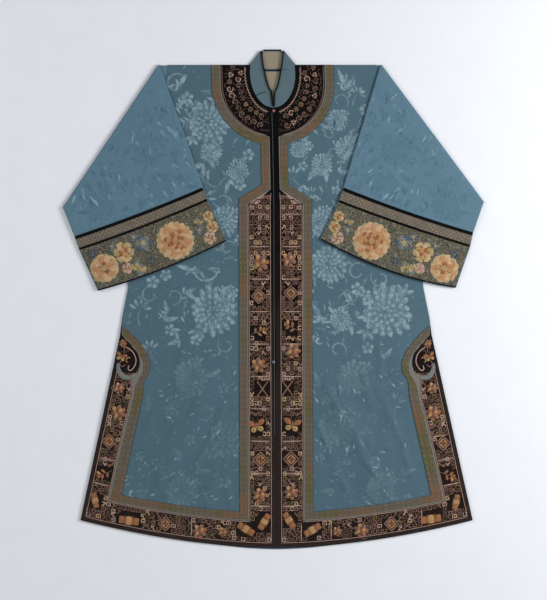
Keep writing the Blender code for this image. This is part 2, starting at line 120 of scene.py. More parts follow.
# %% Sums on shader sockets
class Strand:
    """One socket of a material, which adds the nodes of the sums it takes part in."""

    def __init__(self, socket):
        self.socket = socket

    def node(self, kind, settings=None, sockets=None, out=0):
        made = self.socket.id_data.nodes.new(kind)
        for name, setting in (settings or {}).items():
            setattr(made, name, setting)
        for name, given in (sockets or {}).items():
            if isinstance(given, Strand):
                made.id_data.links.new(given.socket, made.inputs[name])
            else:
                made.inputs[name].default_value = given
        return Strand(made.outputs[out])

    def sum(self, operation, first, second=0.0, third=0.0):
        return self.node("ShaderNodeMath", {"operation": operation}, {0: first, 1: second, 2: third})

    def __add__(self, other):
        return self.sum("ADD", self, other)

    def __radd__(self, other):
        return self.sum("ADD", other, self)

    def __sub__(self, other):
        return self.sum("SUBTRACT", self, other)

    def __rsub__(self, other):
        return self.sum("SUBTRACT", other, self)

    def __mul__(self, other):
        return self.sum("MULTIPLY", self, other)

    def __rmul__(self, other):
        return self.sum("MULTIPLY", other, self)

    def step(self, low, high):
        """0 below low, 1 above high and smooth between, for a value."""
        return self.node("ShaderNodeMapRange", {"interpolation_type": "SMOOTHSTEP"},
                         {"Value": self, "From Min": low, "From Max": high})

    def wave(self, length):
        """A sine between 0 and 1 that repeats after a length."""
        return self.sum("MULTIPLY_ADD", self.sum("SINE", self * (math.tau / length)), 0.5, 0.5)

    def part(self, axis):
        return self.node("ShaderNodeSeparateXYZ", {}, {0: self}, out="XYZ".index(axis))

    def moved(self, scale, turn=0.0, shift=(0.0, 0.0, 0.0)):
        return self.node("ShaderNodeMapping", {}, {"Vector": self, "Scale": scale, "Location": shift,
                                                   "Rotation": (0, 0, math.radians(turn))})

    def noise(self, scale, detail=2.0, rough=0.5):
        return self.node("ShaderNodeTexNoise", {}, {"Vector": self, "Scale": scale, "Detail": detail,
                                                    "Roughness": rough})

    def over(self, under, mask):
        """This colour laid over another one where a mask is 1."""
        return self.node("ShaderNodeMix", {"data_type": "RGBA"}, {0: mask, 6: under, 7: self}, out=2)

    def tinted(self, low, high, mask):
        """This colour made darker or paler, from low where a mask is 0 to high where it is 1."""
        grey = self.node("ShaderNodeMix", {"data_type": "RGBA"},
                         {0: mask, 6: (low, low, low, 1), 7: (high, high, high, 1)}, out=2)
        return self.node("ShaderNodeMix", {"data_type": "RGBA", "blend_type": "MULTIPLY"},
                         {0: 1.0, 6: self, 7: grey}, out=2)


BUMP_STRENGTH = 0.9


def dye(red, green, blue):
    """A cloth colour from its look on a screen, as the shader's own amounts of light."""
    return tuple(((part / 255 + 0.055) / 1.055) ** 2.4 for part in (red, green, blue)) + (1.0,)


class Finish:
    """A material in the making: its start sockets, then one call that fills the shader in."""

    def __init__(self, name):
        self.made = bpy.data.materials.new(name)
        self.made.use_nodes = True
        self.tree = self.made.node_tree
        self.shader = self.tree.nodes["Principled BSDF"]
        self.place = Strand(self.tree.nodes.new("ShaderNodeTexCoord").outputs["Object"])
        self.weave = self.place.node("ShaderNodeUVMap", {"uv_map": "weave"})

    def colour(self, rgba):
        made = self.tree.nodes.new("ShaderNodeRGB")
        made.outputs[0].default_value = rgba
        return Strand(made.outputs[0])

    def mask(self, name):
        return self.place.node("ShaderNodeAttribute", {"attribute_name": name}, {}, out=2)

    def fill(self, colour, rough, bump=None, depth=0.0002, **fixed):
        for name, given in (("Base Color", colour), ("Roughness", rough)):
            if isinstance(given, Strand):
                self.tree.links.new(given.socket, self.shader.inputs[name])
            else:
                self.shader.inputs[name].default_value = given
        if bump is not None:
            normal = self.place.node("ShaderNodeBump", {}, {"Height": bump, "Distance": depth,
                                                            "Strength": BUMP_STRENGTH})
            self.tree.links.new(normal.socket, self.shader.inputs["Normal"])
        for name, amount in fixed.items():
            self.shader.inputs[name.replace("_", " ").title().replace("Ior", "IOR")].default_value = amount
        print("finish", self.made.name, len(self.tree.nodes), "nodes")
        return self.made


# %% [markdown]
# The floor is plain and pale, with only the faint grain of painted board, so that it takes nothing from
# the robe.

# %% Pale floor
FLOOR_HALF, FLOOR_GAP = 3.0, 0.0004
floor_paint = Finish("floor_paint")
grain = floor_paint.place.noise(14.0, 3.0)
paint = floor_paint.colour(dye(218, 221, 226)).tinted(0.97, 1.03, grain)
floor_paint.fill(paint, 0.75, specular_ior_level=0.2)
bm = bmesh.new()
bmesh.ops.create_grid(bm, x_segments=1, y_segments=1, size=FLOOR_HALF)
bmesh.ops.translate(bm, verts=bm.verts, vec=(0, 0, cad_box[0][2] - FLOOR_GAP))
mesh = bpy.data.meshes.new("floor")
bm.to_mesh(mesh)
bm.free()
mesh.materials.append(floor_paint.made)
floor = placed("floor", mesh)

# %% [markdown]
# The cut of the robe is given by measures from its shoulder line down and from its centre line out. They
# are the same values that the solids were made from, so each cloth piece lands on its solid.

# %% Measures of the cut
SHOULDER_Y = 0.6084
LENGTH = 1.2545
HALF_HEM = 0.5096
HEM_RISE = 0.0715
HEM_BEND = 1.8
SLIT_TOP = 0.70
PANEL = 0.0015
TRIM = 0.0010
SEAM_GAP = 0.0003
FRONT_GAP = 0.0012
BACK_PEEP = 0.004
NECK_HALF = 0.061
NECK_LEVEL = 0.0208
NECK_DEPTH = 0.1134
NECK_PIPE = 0.0016
NECK_ROOM = 0.0021
NECK_EDGE = NECK_DEPTH + NECK_ROOM
YOKE_LEVEL = 0.0494
YOKE_REACH = 0.159
RIBBON = 0.0205
BRAID = 0.0035
BINDING = 0.0112
NARROW = 0.0352
WIDE = 0.0952
FLARE_TOP = 0.312
FLARE_END = 0.348
FLARE_SHIFT = 0.56
BAND_TOP = 0.324
HEM_BINDING = 0.0105
HEM_BAND = 0.057
HEM_RIBBON = 0.0195
SIDE_BINDING = 0.0104
LEAST = 0.0006
TRIM_ROOM = 0.0005
FRONT_Z = PANEL + SEAM_GAP
TRIM_Z = FRONT_Z + PANEL + TRIM_ROOM
TRIM_TOP = TRIM_Z + TRIM
FOLD_AXIS = FRONT_Z + PANEL + 2 * SEAM_GAP
CENTRE_LINE = ((0.0, -0.0022), (0.21, 0.0028), (0.35, 0.0054), (1.18, 0.0085))
SHOULDER = 0.270
ARM_TOP = 0.0013
ARM_END = 0.372
CORNER = 1.183
SIDE = ((0.0, SHOULDER), (ARM_END, 0.357), (0.585, 0.385), (0.66, 0.400), (SLIT_TOP, 0.4045),
        (CORNER, HALF_HEM))
BACK_SIDE = (CORNER, 0.9, SLIT_TOP, 0.66, 0.585, ARM_END, 0.35, 0.21, 0.1, 0.0)
BACK_NECK = ((NECK_HALF, 0.0), (0.045, 0.0105), (0.025, 0.0140))
CLOUD_TOP = 0.6786
CLOUD = (
    # down, then how far in from the side the binding, band, braid and ribbon reach
    (CLOUD_TOP, 0.0010, 0.0020, 0.0030, 0.0040),
    (0.702, 0.0035, 0.0050, 0.0080, 0.0330),
    (0.728, 0.0085, 0.0354, 0.0400, 0.0614),
    (0.754, SIDE_BINDING, 0.0577, 0.0640, 0.0837),
    (0.775, SIDE_BINDING, 0.0686, 0.0777, 0.0946),
    (0.798, SIDE_BINDING, 0.0670, 0.0800, 0.0983),
    (0.819, SIDE_BINDING, 0.0570, 0.0728, 0.0884),
    (0.835, SIDE_BINDING, 0.0590, 0.0684, 0.0892),
    (0.860, SIDE_BINDING, 0.0640, 0.0705, 0.0938),
    (1.000, SIDE_BINDING, 0.0611, 0.0665, 0.0936),
)
YOKE_FOOT = 0.187
ROWS = (0.0, 0.03, 0.06, 0.085, 0.102, 0.111, NECK_EDGE, 0.14, 0.16, 0.175, YOKE_FOOT, 0.196, 0.2045, 0.25,
        FLARE_TOP, BAND_TOP, FLARE_END, 0.362, 0.43, 0.50, 0.57, 0.63, CLOUD_TOP, 0.702, 0.728, 0.754, 0.775,
        0.798, 0.819, 0.835, 0.86, 0.93, 1.0, 1.07, 1.13)
HEM_ROWS = (LENGTH - HEM_BINDING - HEM_BAND - BRAID - HEM_RIBBON, LENGTH - HEM_BINDING - HEM_BAND - BRAID,
            LENGTH - HEM_BINDING - HEM_BAND, LENGTH - HEM_BINDING, LENGTH)
LEVELS = ROWS + HEM_ROWS
LAST_SEAM = 9
BEND_ROUNDS = 6
PRESSED_END = 0.64
FREE_START = 0.72
CREASE_GAIN, RIPPLE_GAIN, TROUGH = 2.0, 3.2, 0.35
QUIVER = 0.00022
CREASES = (
    # out from the centre line, down, direction in degrees, half length, half width, height
    (0.17, 0.90, -62, 0.080, 0.030, 0.0022),
    (0.22, 0.97, -60, 0.070, 0.032, 0.0018),
    (0.26, 1.09, -55, 0.060, 0.034, 0.0020),
    (0.33, 0.80, -70, 0.070, 0.034, 0.0014),
    (-0.19, 0.86, -115, 0.080, 0.034, 0.0017),
    (-0.27, 1.00, -120, 0.090, 0.036, 0.0015),
    (-0.17, 1.10, -100, 0.060, 0.032, 0.0014),
    (-0.33, 0.74, -105, 0.070, 0.036, 0.0013),
)
# Smaller ripples that only the cloth has, some of them troughs.
RIPPLES = (
    (0.150, 0.87, -58, 0.045, 0.0075, 0.0008), (0.172, 0.90, -62, 0.050, 0.0075, -0.0007),
    (0.200, 0.95, -58, 0.050, 0.0080, 0.0009), (0.222, 0.98, -50, 0.045, 0.0075, -0.0007),
    (0.245, 1.05, -57, 0.050, 0.0080, 0.0009), (0.268, 1.09, -52, 0.040, 0.0075, -0.0007),
    (0.290, 1.12, -46, 0.040, 0.0080, 0.0007), (0.300, 0.92, -66, 0.060, 0.0090, 0.0006),
    (0.235, 0.84, -75, 0.050, 0.0080, 0.0006), (0.130, 1.04, -80, 0.060, 0.0075, -0.0006),
    (0.120, 0.96, -70, 0.050, 0.0080, 0.0006), (0.340, 1.03, -72, 0.050, 0.0085, 0.0006),
    (0.180, 1.10, -62, 0.045, 0.0080, 0.0007), (0.205, 1.13, -40, 0.040, 0.0075, -0.0006),
    (-0.150, 0.92, -112, 0.050, 0.0080, 0.0007), (-0.175, 0.95, -116, 0.050, 0.0075, -0.0006),
    (-0.235, 0.90, -122, 0.055, 0.0080, -0.0007), (-0.260, 0.94, -120, 0.045, 0.0080, 0.0007),
    (-0.200, 1.02, -118, 0.050, 0.0075, 0.0008), (-0.225, 1.06, -124, 0.045, 0.0075, -0.0006),
    (-0.300, 1.07, -128, 0.050, 0.0085, 0.0007), (-0.330, 1.10, -136, 0.040, 0.0080, -0.0006),
    (-0.145, 1.05, -98, 0.060, 0.0080, -0.0006), (-0.125, 1.10, -84, 0.050, 0.0080, 0.0006),
    (-0.330, 0.93, -110, 0.050, 0.0085, 0.0006), (-0.250, 0.78, -100, 0.045, 0.0085, 0.0006),
    (0.270, 0.76, -85, 0.045, 0.0085, 0.0006), (-0.280, 1.13, -60, 0.050, 0.0080, 0.0006),
)
print("rows of the cut:", len(LEVELS))

# %% [markdown]
# A point of the cloth is found from these measures: the centre line bows a little, the hem bends up
# towards the slits, and soft creases lift the fronts below the sleeves. Creases are sums of long low
# humps, which is how pressed silk lies when it is no longer new.

# %% Places on the robe
def along(table, at, column=1):
    """A value read from a table whose first column rises, straight between its rows."""
    if at <= table[0][0]:
        return table[0][column]
    for low, high in zip(table, table[1:]):
        if at <= high[0]:
            share = (at - low[0]) / (high[0] - low[0])
            return low[column] + share * (high[column] - low[column])
    return table[-1][column]


def smooth(low, high, at):
    share = min(1.0, max(0.0, (at - low) / (high - low)))
    return share * share * (3 - 2 * share)


def place(side, u, v, z=0.0):
    """A point of the robe's left or right half, u out from the centre line and v down."""
    sign = -1 if side == "left" else 1
    return Vector((along(CENTRE_LINE, v) + sign * u, SHOULDER_Y - v, z))


def measure(point):
    """The signed distance out from the centre line, and the distance down, of a point."""
    v = SHOULDER_Y - point[1]
    return point[0] - along(CENTRE_LINE, v), v


def hump(fold, out, v):
    """How far down the side of one long hump a point lies, 0 on its middle, and the hump's height."""
    at_u, at_v, turn, reach, width, rise = fold
    du, dv = out - at_u, at_v - v
    ax, ay = math.cos(math.radians(turn)), math.sin(math.radians(turn))
    run, across = (du * ax + dv * ay) / reach, (dv * ax - du * ay) / width
    return run * run + across * across, rise


def relief(out, v):
    """Height of the creases over the flat cloth, none where the sleeves press it down."""
    height = 0.0
    for folds, share in ((CREASES, CREASE_GAIN), (RIPPLES, RIPPLE_GAIN)):
        for fold in folds:
            away, rise = hump(fold, out, v)
            if away < 12:
                height += share * rise * math.exp(-away)
    height *= smooth(PRESSED_END, FREE_START, v) * (1.0 if height > 0 else TROUGH)
    quiver = math.sin(31 * out + 9 * v + 1.1) * math.sin(23 * v - 14 * out) * QUIVER
    return height + quiver * smooth(0.02, 0.09, v)


def neck(v, room=0.0):
    inside = 1 - ((v - NECK_LEVEL) / (NECK_DEPTH - NECK_LEVEL + room)) ** 2
    return (NECK_HALF + room) * math.sqrt(max(0.0, inside))


def front_line(inset, v):
    """The ribbon's outer edge round the yoke and down the front, moved in by an inset."""
    reach, narrow, wide = YOKE_REACH - inset, NARROW - inset, WIDE - inset
    circle = math.sqrt(max(0.0, reach ** 2 - max(0.0, v - YOKE_LEVEL) ** 2))
    share = (v - FLARE_TOP - FLARE_SHIFT * inset) / (FLARE_END - FLARE_TOP)
    return max(circle, narrow + (wide - narrow) * min(1.0, max(0.0, share)))


def front_lines(v):
    """Half widths of the strips' seams at a level, from the front edge out to the side."""
    edge = max(FRONT_GAP, neck(v, NECK_ROOM))
    binding = max(BINDING, edge + LEAST)
    band = max(front_line(RIBBON + BRAID, v), binding + LEAST)
    braid = max(front_line(RIBBON, v), band + LEAST)
    ribbon = max(front_line(0.0, v), braid + LEAST)
    side = along(SIDE, v)
    slit = [side - along(CLOUD, v, column) for column in (4, 3, 2, 1)]
    return [edge, binding, band, braid, ribbon] + slit + [side]


def hem_bend(level):
    return HEM_RISE * smooth(SLIT_TOP, LEVELS[len(ROWS)], level)


def seam_spot(level, column):
    """A point (u, v) where a row meets a seam line. Fractions of a column lie between two seams."""
    first = min(int(column), LAST_SEAM - 1)
    part = column - first
    v = level
    for _ in range(BEND_ROUNDS):
        lines = front_lines(v)
        u = lines[first] + part * (lines[first + 1] - lines[first])
        v = level - hem_bend(level) * (u / HALF_HEM) ** HEM_BEND
    return u, v


def spread(stops, pitch):
    """Values between stops, each gap cut into equal steps no longer than a pitch."""
    values = [stops[0]]
    for low, high in zip(stops, stops[1:]):
        steps = max(1, math.ceil((high - low) / pitch))
        values += [low + (high - low) * step / steps for step in range(1, steps + 1)]
    return values


print("side seam at the slit:", place("right", along(SIDE, SLIT_TOP), SLIT_TOP))

# %% [markdown]
# Each cloth piece is an open sheet first. A Solidify modifier then gives it the thickness of the cloth with
# its seam turned in, and the modifier is applied, so that the sheet is a closed thin shell.

# %% Making one cloth piece
SHARP_EDGE = 50
SEAM_EASE = SEAM_GAP / 2
parts = {}


def dress(name, bm, finishes, nodes=(), thick=None, up=1.0):
    """A finished piece from a mesh: materials, thickness, the body it rides on and what it replaces."""
    mesh = bpy.data.meshes.new(name)
    bm.to_mesh(mesh)
    bm.free()
    made = placed(name, mesh)
    for finish in finishes:
        mesh.materials.append(finish)
    if thick:
        solid = made.modifiers.new("thickness", "SOLIDIFY")
        solid.thickness = thick
        solid.offset = up
        solid.use_rim = True
        graph = bpy.context.evaluated_depsgraph_get()
        made.data = bpy.data.meshes.new_from_object(made.evaluated_get(graph))
        made.modifiers.clear()
    made.data.shade_smooth()
    if thick:
        made.data.set_sharp_from_angle(angle=math.radians(SHARP_EDGE))
    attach(made, "root")
    if nodes:
        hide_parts(*nodes)
    parts[name] = made
    return made


def ease(bm):
    """Draw a sheet's border in by half a seam's gap, so that neighbours stay apart."""
    found = {}
    for edge in bm.edges:
        if len(edge.link_faces) == 1:
            a, b = (vertex.co for vertex in edge.verts)
            inward = Vector((a.y - b.y, b.x - a.x, 0.0)).normalized()
            if inward.dot(edge.link_faces[0].calc_center_median() - (a + b) / 2) < 0:
                inward.negate()
            for vertex in edge.verts:
                found.setdefault(vertex, []).append(inward)
    for vertex, inward in found.items():
        vertex.co += sum(inward, Vector()) * SEAM_EASE / max(0.5, 1 + inward[0].dot(inward[-1]))
    return bm


def face_up(bm):
    bmesh.ops.recalc_face_normals(bm, faces=bm.faces)
    if sum(face.normal.z * face.calc_area() for face in bm.faces) < 0:
        bmesh.ops.reverse_faces(bm, faces=bm.faces)


def lattice(points, weave=None, keep=None):
    """A sheet from rows of points. weave gives each point its place along and across the strip."""
    bm = bmesh.new()
    layer = bm.loops.layers.uv.new("weave")
    verts = {}
    for row in range(len(points) - 1):
        for column in range(len(points[0]) - 1):
            if keep and not keep(row, column):
                continue
            face = []
            for key in ((row, column), (row + 1, column), (row + 1, column + 1), (row, column + 1)):
                if key not in verts:
                    verts[key] = bm.verts.new(points[key[0]][key[1]])
                face.append((verts[key], key))
            made = bm.faces.new([vertex for vertex, _ in face])
            for loop, (_, key) in zip(made.loops, face):
                loop[layer].uv = weave(row, column, key) if weave else points[key[0]][key[1]][:2]
    face_up(bm)
    return bm


print("the cloth is drawn in by", SEAM_EASE, "m at each seam")

# %% [markdown]
# Damask shows its flowers because the figure and the ground are woven with opposite faces of the same silk
# threads. Here each flower is drawn by a small function as a set of closed petals and leaves. A
# constrained Delaunay triangulation then keeps those outlines as edges of the cloth's own mesh, so that a
# face attribute can say which faces are figure. This gives crisp petals with few faces and no image.

# %% Petals, leaves and scrolls
CHOICE = random.Random(7)


def jitter(amount):
    return 1 + CHOICE.uniform(-amount, amount)


def reached(at, turn, run):
    """The point a run away from another one, in a direction in degrees."""
    return at[0] + run * math.cos(math.radians(turn)), at[1] + run * math.sin(math.radians(turn))


def petal(at, turn, length, width, fat=0.62):
    """A closed petal outline from its root, widest at a share of its length."""
    turn = math.radians(turn)
    ax, ay = math.cos(turn), math.sin(turn)
    left, right = [], []
    for share in (0.0, 0.14, 0.34, fat, 0.85, 1.0):
        half = width / 2 * math.sin(math.pi * min(1.0, share / fat / 2 if share < fat else
                                                  0.5 + (share - fat) / (1 - fat) * 0.42))
        half = max(half, width * 0.06)
        run = share * length
        left.append((at[0] + ax * run - ay * half, at[1] + ay * run + ax * half))
        right.append((at[0] + ax * run + ay * half, at[1] + ay * run - ax * half))
    return left + right[::-1]


def stem(points, width):
    """A thin scroll along some points, tapered to its ends."""
    left, right = [], []
    for index, (x, y) in enumerate(points):
        before, after = points[max(0, index - 1)], points[min(len(points) - 1, index + 1)]
        dx, dy = after[0] - before[0], after[1] - before[1]
        size = math.hypot(dx, dy) or 1.0
        half = width / 2 * (0.25 + 0.75 * math.sin(math.pi * (index + 0.5) / len(points)) ** 0.6)
        left.append((x - dy / size * half, y + dx / size * half))
        right.append((x + dy / size * half, y - dx / size * half))
    return left + right[::-1]


def ring_of(at, turn, count, start, length, width, fat=0.62, sweep=360, swell=0.0, loose=0.0):
    """Petals round a centre, or over a part of a turn, longer on one side where swell says so."""
    made = []
    for number in range(count):
        angle = turn + sweep * number / count
        longer = 1 + swell * math.sin(math.radians(3 * (angle - turn) / 2))
        made.append(petal(reached(at, angle, start), angle + 40 * loose * (jitter(1) - 1),
                          length * longer * jitter(loose), width * jitter(loose), fat))
    return made


MUM_RINGS = (
    # turn, petals, then as shares of the size: start, length, width; swell and looseness
    (0, 17, 0.58, 0.46, 0.33, 0.25, 0.16), (12, 15, 0.40, 0.40, 0.29, 0.15, 0.16),
    (30, 12, 0.22, 0.32, 0.24, 0.0, 0.14), (0, 7, 0.05, 0.24, 0.19, 0.0, 0.10),
)


def mum(at, size, turn):
    """A chrysanthemum: four rings of broad petals over each other, and two groups of leaves."""
    made = []
    for lean, count, start, length, width, swell, loose in MUM_RINGS:
        made += ring_of(at, turn + lean, count, size * start, size * length, size * width, 0.6,
                        swell=swell, loose=loose)
    for angle in (turn + 35, turn + 215):
        root = reached(at, angle, size * 1.02)
        made += ring_of(root, angle - 30, 3, 0.0, size * 0.45, size * 0.22, 0.5, 160)
    return made


def blossom(at, size, turn):
    return ring_of(at, turn, 5, size * 0.16, size * 0.82, size * 0.74, 0.68)


def leaf(at, size, turn):
    tail = reached(at, turn, -size)
    return [petal(tail, turn - 6, size * 1.7, size * 0.62, 0.45),
            petal(tail, turn + 52, size * 0.9, size * 0.34, 0.5)]


def cluster(at, size, turn):
    """A spray: a small flower with leaves on a stem."""
    made = ring_of(at, turn - 50, 5, size * 0.30, size * 0.62, size * 0.26, 0.55, 180)
    bent = [reached(at, turn + 25 * share, -size * share) for share in (0.0, 0.3, 0.6, 0.9, 1.2)]
    return made + [stem(bent, size * 0.10)]


def curl(at, size, turn):
    """A scroll that winds in on itself, with one small leaf on its back."""
    shares = [step / 15 for step in range(16)]
    points = [reached(at, turn + 360 * 0.85 * share, size * (1 - 0.6 * share)) for share in shares]
    return [stem(points, size * 0.12 * 1.6), petal(points[4], turn + 110, size * 0.7, size * 0.3)]


def tendril(at, size, turn):
    points = [(at[0] + size * math.cos(math.radians(turn + angle)) * 0.8,
               at[1] + size * math.sin(math.radians(turn + angle)) * 0.62) for angle in range(170, 381, 18)]
    return ([stem(points, size * 0.17)] + blossom(points[0], size * 0.3, 20)
            + blossom(points[-1], size * 0.26, 50))


DRAW = {"mum": mum, "blossom": blossom, "leaf": leaf, "cluster": cluster, "curl": curl, "tendril": tendril}
TONES = {"curl": 0.75, "mum": 0.58}
PETAL_POINTS = 12
TIP_SIZE, TIP_GAIN, MUM_TIP_GAIN = 0.55, 0.3, 0.55


def in_metres(table):
    """Rows of a table of figures as kind, point of the floor plan, size and turn."""
    for kind, across, down, size, turn in table:
        yield kind, (across / 1000, SHOULDER_Y - down / 1000), size / 1000, turn


def drawn(table, mirror=1):
    """Outlines of a table's figures on the floor plan, each with the strength of its weave."""
    made = []
    for kind, at, size, turn in in_metres(table):
        for outline in DRAW[kind](at, size, turn):
            outline = [(mirror * x, y) for x, y in outline]
            tone = CHOICE.uniform(0.40, 0.95) * TONES.get(kind, 1.0)
            made.append((outline, tone))
            if kind != "curl" and len(outline) == PETAL_POINTS:
                tip = ((outline[4][0] + outline[7][0]) / 2, (outline[4][1] + outline[7][1]) / 2)
                core = [(tip[0] + (x - tip[0]) * TIP_SIZE, tip[1] + (y - tip[1]) * TIP_SIZE)
                        for x, y in outline]
                made.append((core, tone + (MUM_TIP_GAIN if kind == "mum" else TIP_GAIN)))
    return made


def strokes(count, low, high, turn, spread_of_turn, dark, large=1.0):
    """Short thin petals strewn in loose groups over a rectangle, a share dark: on crumpled silk, painted
    glints and painted crease shade.
    """
    made = []
    for _ in range(count // 4):
        at = (CHOICE.uniform(low[0], high[0]), CHOICE.uniform(low[1], high[1]))
        angle = turn + CHOICE.uniform(-1, 1) * spread_of_turn
        for _ in range(4):
            near_by = (at[0] + CHOICE.gauss(0, 0.014), at[1] + CHOICE.gauss(0, 0.009))
            long = large * CHOICE.uniform(0.005, 0.017)
            tone = CHOICE.uniform(0.3, 1.1) * (-1 if CHOICE.random() < dark else 1)
            lean = angle + CHOICE.uniform(-24, 24)
            made.append((petal(near_by, lean, long, long * CHOICE.uniform(0.16, 0.36)), tone))
    return made


# %% [markdown]
# The weaver's repeat is large: a chrysanthemum with leafy sprays, small five-petalled blossoms and scrolls.
# Each row of the tables gives a figure, its place across and down, its size, all in millimetres, and its
# turn in degrees.

# %% The figures and their places
FIGURES_LEFT = (
    ("mum", -170, 148, 55, 10), ("blossom", -224, 86, 18, 20), ("blossom", -216, 112, 16, 60),
    ("curl", -253, 49, 29, 40), ("leaf", -274, 39, 23, 150), ("leaf", -235, 36, 21, 60),
    ("mum", -162, 230, 26, 80), ("blossom", -146, 221, 16, 0), ("leaf", -157, 255, 23, -60),
    ("cluster", -123, 294, 23, 20), ("mum", -92, 276, 27, 30), ("blossom", -86, 312, 16, 60),
    ("leaf", -118, 320, 21, -100), ("blossom", -64, 234, 16, 10), ("cluster", -177, 299, 31, 120),
    ("leaf", -201, 268, 23, 210), ("curl", -133, 351, 23, 200), ("blossom", -211, 325, 16, 5),
    ("leaf", -60, 351, 21, 260), ("mum", -133, 408, 39, 0), ("leaf", -73, 408, 23, 140),
    ("blossom", -86, 455, 16, 40), ("curl", -118, 476, 21, 20), ("blossom", -177, 364, 13, 15),
    ("tendril", -175, 538, 36, 0), ("blossom", -313, 564, 18, 10), ("blossom", -279, 546, 16, 50),
    ("curl", -320, 598, 23, 100), ("curl", -258, 601, 23, 260), ("leaf", -216, 585, 21, 30),
    ("leaf", -209, 601, 21, -30), ("mum", -157, 642, 60, 15), ("cluster", -346, 637, 34, 60),
    ("leaf", -281, 627, 21, 110), ("leaf", -263, 658, 23, 20), ("blossom", -268, 689, 16, 0),
    ("leaf", -248, 705, 21, 300), ("leaf", -261, 725, 21, 200), ("blossom", -105, 590, 16, 20),
    ("leaf", -235, 528, 23, 170), ("blossom", -201, 715, 16, 0), ("curl", -123, 728, 23, 140),
    ("cluster", -320, 741, 29, 90), ("mum", -216, 814, 44, 30), ("curl", -294, 819, 23, 10),
    ("leaf", -151, 798, 23, 40), ("blossom", -128, 840, 16, 20), ("leaf", -326, 876, 23, 100),
    ("blossom", -268, 897, 16, 10), ("curl", -177, 902, 23, 220), ("mum", -123, 975, 47, 5),
    ("blossom", -216, 975, 16, 40), ("leaf", -253, 1006, 23, 140), ("curl", -320, 975, 23, 330),
    ("cluster", -305, 1048, 29, 20), ("blossom", -346, 1017, 13, 0), ("leaf", -177, 1053, 23, 10),
    ("blossom", -125, 1084, 16, 0), ("mum", -237, 1110, 39, 0), ("leaf", -333, 1110, 21, 60),
    ("curl", -159, 1126, 21, 60),
)
FIGURES_RIGHT = (
    ("leaf", 174, 31, 23, 120), ("leaf", 194, 49, 23, 60), ("cluster", 218, 78, 26, 40),
    ("curl", 174, 94, 23, 300), ("mum", 166, 143, 26, 0), ("cluster", 161, 216, 23, 10),
    ("mum", 189, 220, 30, 30), ("leaf", 207, 195, 21, 60), ("mum", 124, 260, 28, 10),
    ("leaf", 140, 289, 23, -80), ("leaf", 101, 289, 23, -120), ("mum", 68, 222, 22, 90),
    ("blossom", 93, 211, 13, 0), ("cluster", 51, 289, 29, 100), ("blossom", 239, 117, 16, 20),
    ("cluster", 98, 335, 21, 100), ("blossom", 163, 325, 13, 0), ("leaf", 187, 278, 21, 0),
    ("leaf", 70, 330, 21, 250), ("blossom", 77, 263, 13, 0), ("curl", 148, 179, 18, 60),
    ("mum", 116, 408, 36, 20), ("blossom", 64, 390, 13, 10), ("leaf", 72, 442, 21, 70),
    ("curl", 161, 382, 21, 10), ("leaf", 80, 351, 21, 200), ("mum", 142, 517, 47, 0),
    ("curl", 218, 538, 26, 40), ("curl", 278, 554, 26, 150), ("curl", 181, 608, 23, 240),
    ("blossom", 218, 582, 18, 10), ("blossom", 239, 598, 16, 40), ("mum", 291, 642, 65, 10),
    ("mum", 174, 663, 29, 30), ("leaf", 109, 637, 23, 130), ("leaf", 116, 666, 21, 210),
    ("leaf", 343, 663, 21, 20), ("blossom", 90, 588, 16, 0), ("leaf", 205, 689, 21, 290),
    ("leaf", 335, 590, 23, 60), ("leaf", 231, 658, 21, 190), ("cluster", 101, 728, 29, 60),
    ("curl", 168, 741, 23, 330), ("blossom", 246, 736, 16, 20), ("mum", 205, 814, 44, 0),
    ("leaf", 298, 746, 21, 60), ("curl", 288, 814, 23, 190), ("leaf", 111, 814, 23, 120),
    ("blossom", 137, 871, 16, 10), ("cluster", 319, 876, 29, 60), ("mum", 161, 944, 47, 25),
    ("blossom", 257, 918, 16, 0), ("leaf", 231, 975, 23, 300), ("curl", 309, 975, 23, 40),
    ("blossom", 122, 1022, 13, 0), ("cluster", 187, 1048, 29, 110), ("blossom", 265, 1032, 16, 30),
    ("mum", 278, 1100, 39, 0), ("leaf", 356, 1053, 23, 30), ("leaf", 135, 1110, 23, 200),
    ("curl", 200, 1126, 21, 10), ("blossom", 350, 1126, 13, 0),
)
FIGURES_SLEEVE = (
    ("mum", -320, 221, 39, 0), ("cluster", -253, 169, 29, 50), ("leaf", -284, 122, 23, 80),
    ("blossom", -326, 138, 16, 20), ("curl", -279, 70, 21, 120), ("blossom", -354, 195, 16, 10),
    ("leaf", -378, 226, 23, 230), ("curl", -253, 247, 23, 0), ("blossom", -216, 221, 13, 0),
    ("cluster", -404, 268, 29, 200), ("blossom", -440, 315, 16, 0), ("mum", -450, 367, 36, 20),
    ("leaf", -492, 387, 23, 190), ("curl", -393, 330, 23, 330), ("leaf", -346, 294, 23, 40),
    ("mum", -294, 320, 36, 15), ("blossom", -240, 294, 16, 40), ("leaf", -211, 315, 21, 10),
    ("blossom", -378, 382, 16, 30), ("leaf", -339, 367, 21, 250), ("blossom", -492, 346, 13, 0),
    ("curl", -424, 408, 18, 100), ("blossom", -274, 367, 13, 10), ("cluster", -331, 81, 23, 60),
)
print("figures on the fronts:", len(FIGURES_LEFT) + len(FIGURES_RIGHT))

# %% [markdown]
# The sheet maker lays a grid of points inside a piece's outline, adds the outlines of its figures and joins
# them all by the triangulation. A figure that crosses the outline, or comes too near it, is left out.

# %% Cloth with woven figures
PITCH = 0.0058
ROW_STEP, EDGE_ROOM, FIGURE_ROOM = 0.87, 0.45, 0.0012


def inside(points, outline):
    """Which points of an array lie inside a closed outline."""
    found = np.zeros(len(points), dtype=bool)
    for (ax, ay), (bx, by) in zip(outline, outline[1:] + outline[:1]):
        crosses = (ay > points[:, 1]) != (by > points[:, 1])
        with np.errstate(divide="ignore", invalid="ignore"):
            found ^= crosses & (points[:, 0] < (bx - ax) * (points[:, 1] - ay) / (by - ay) + ax)
    return found


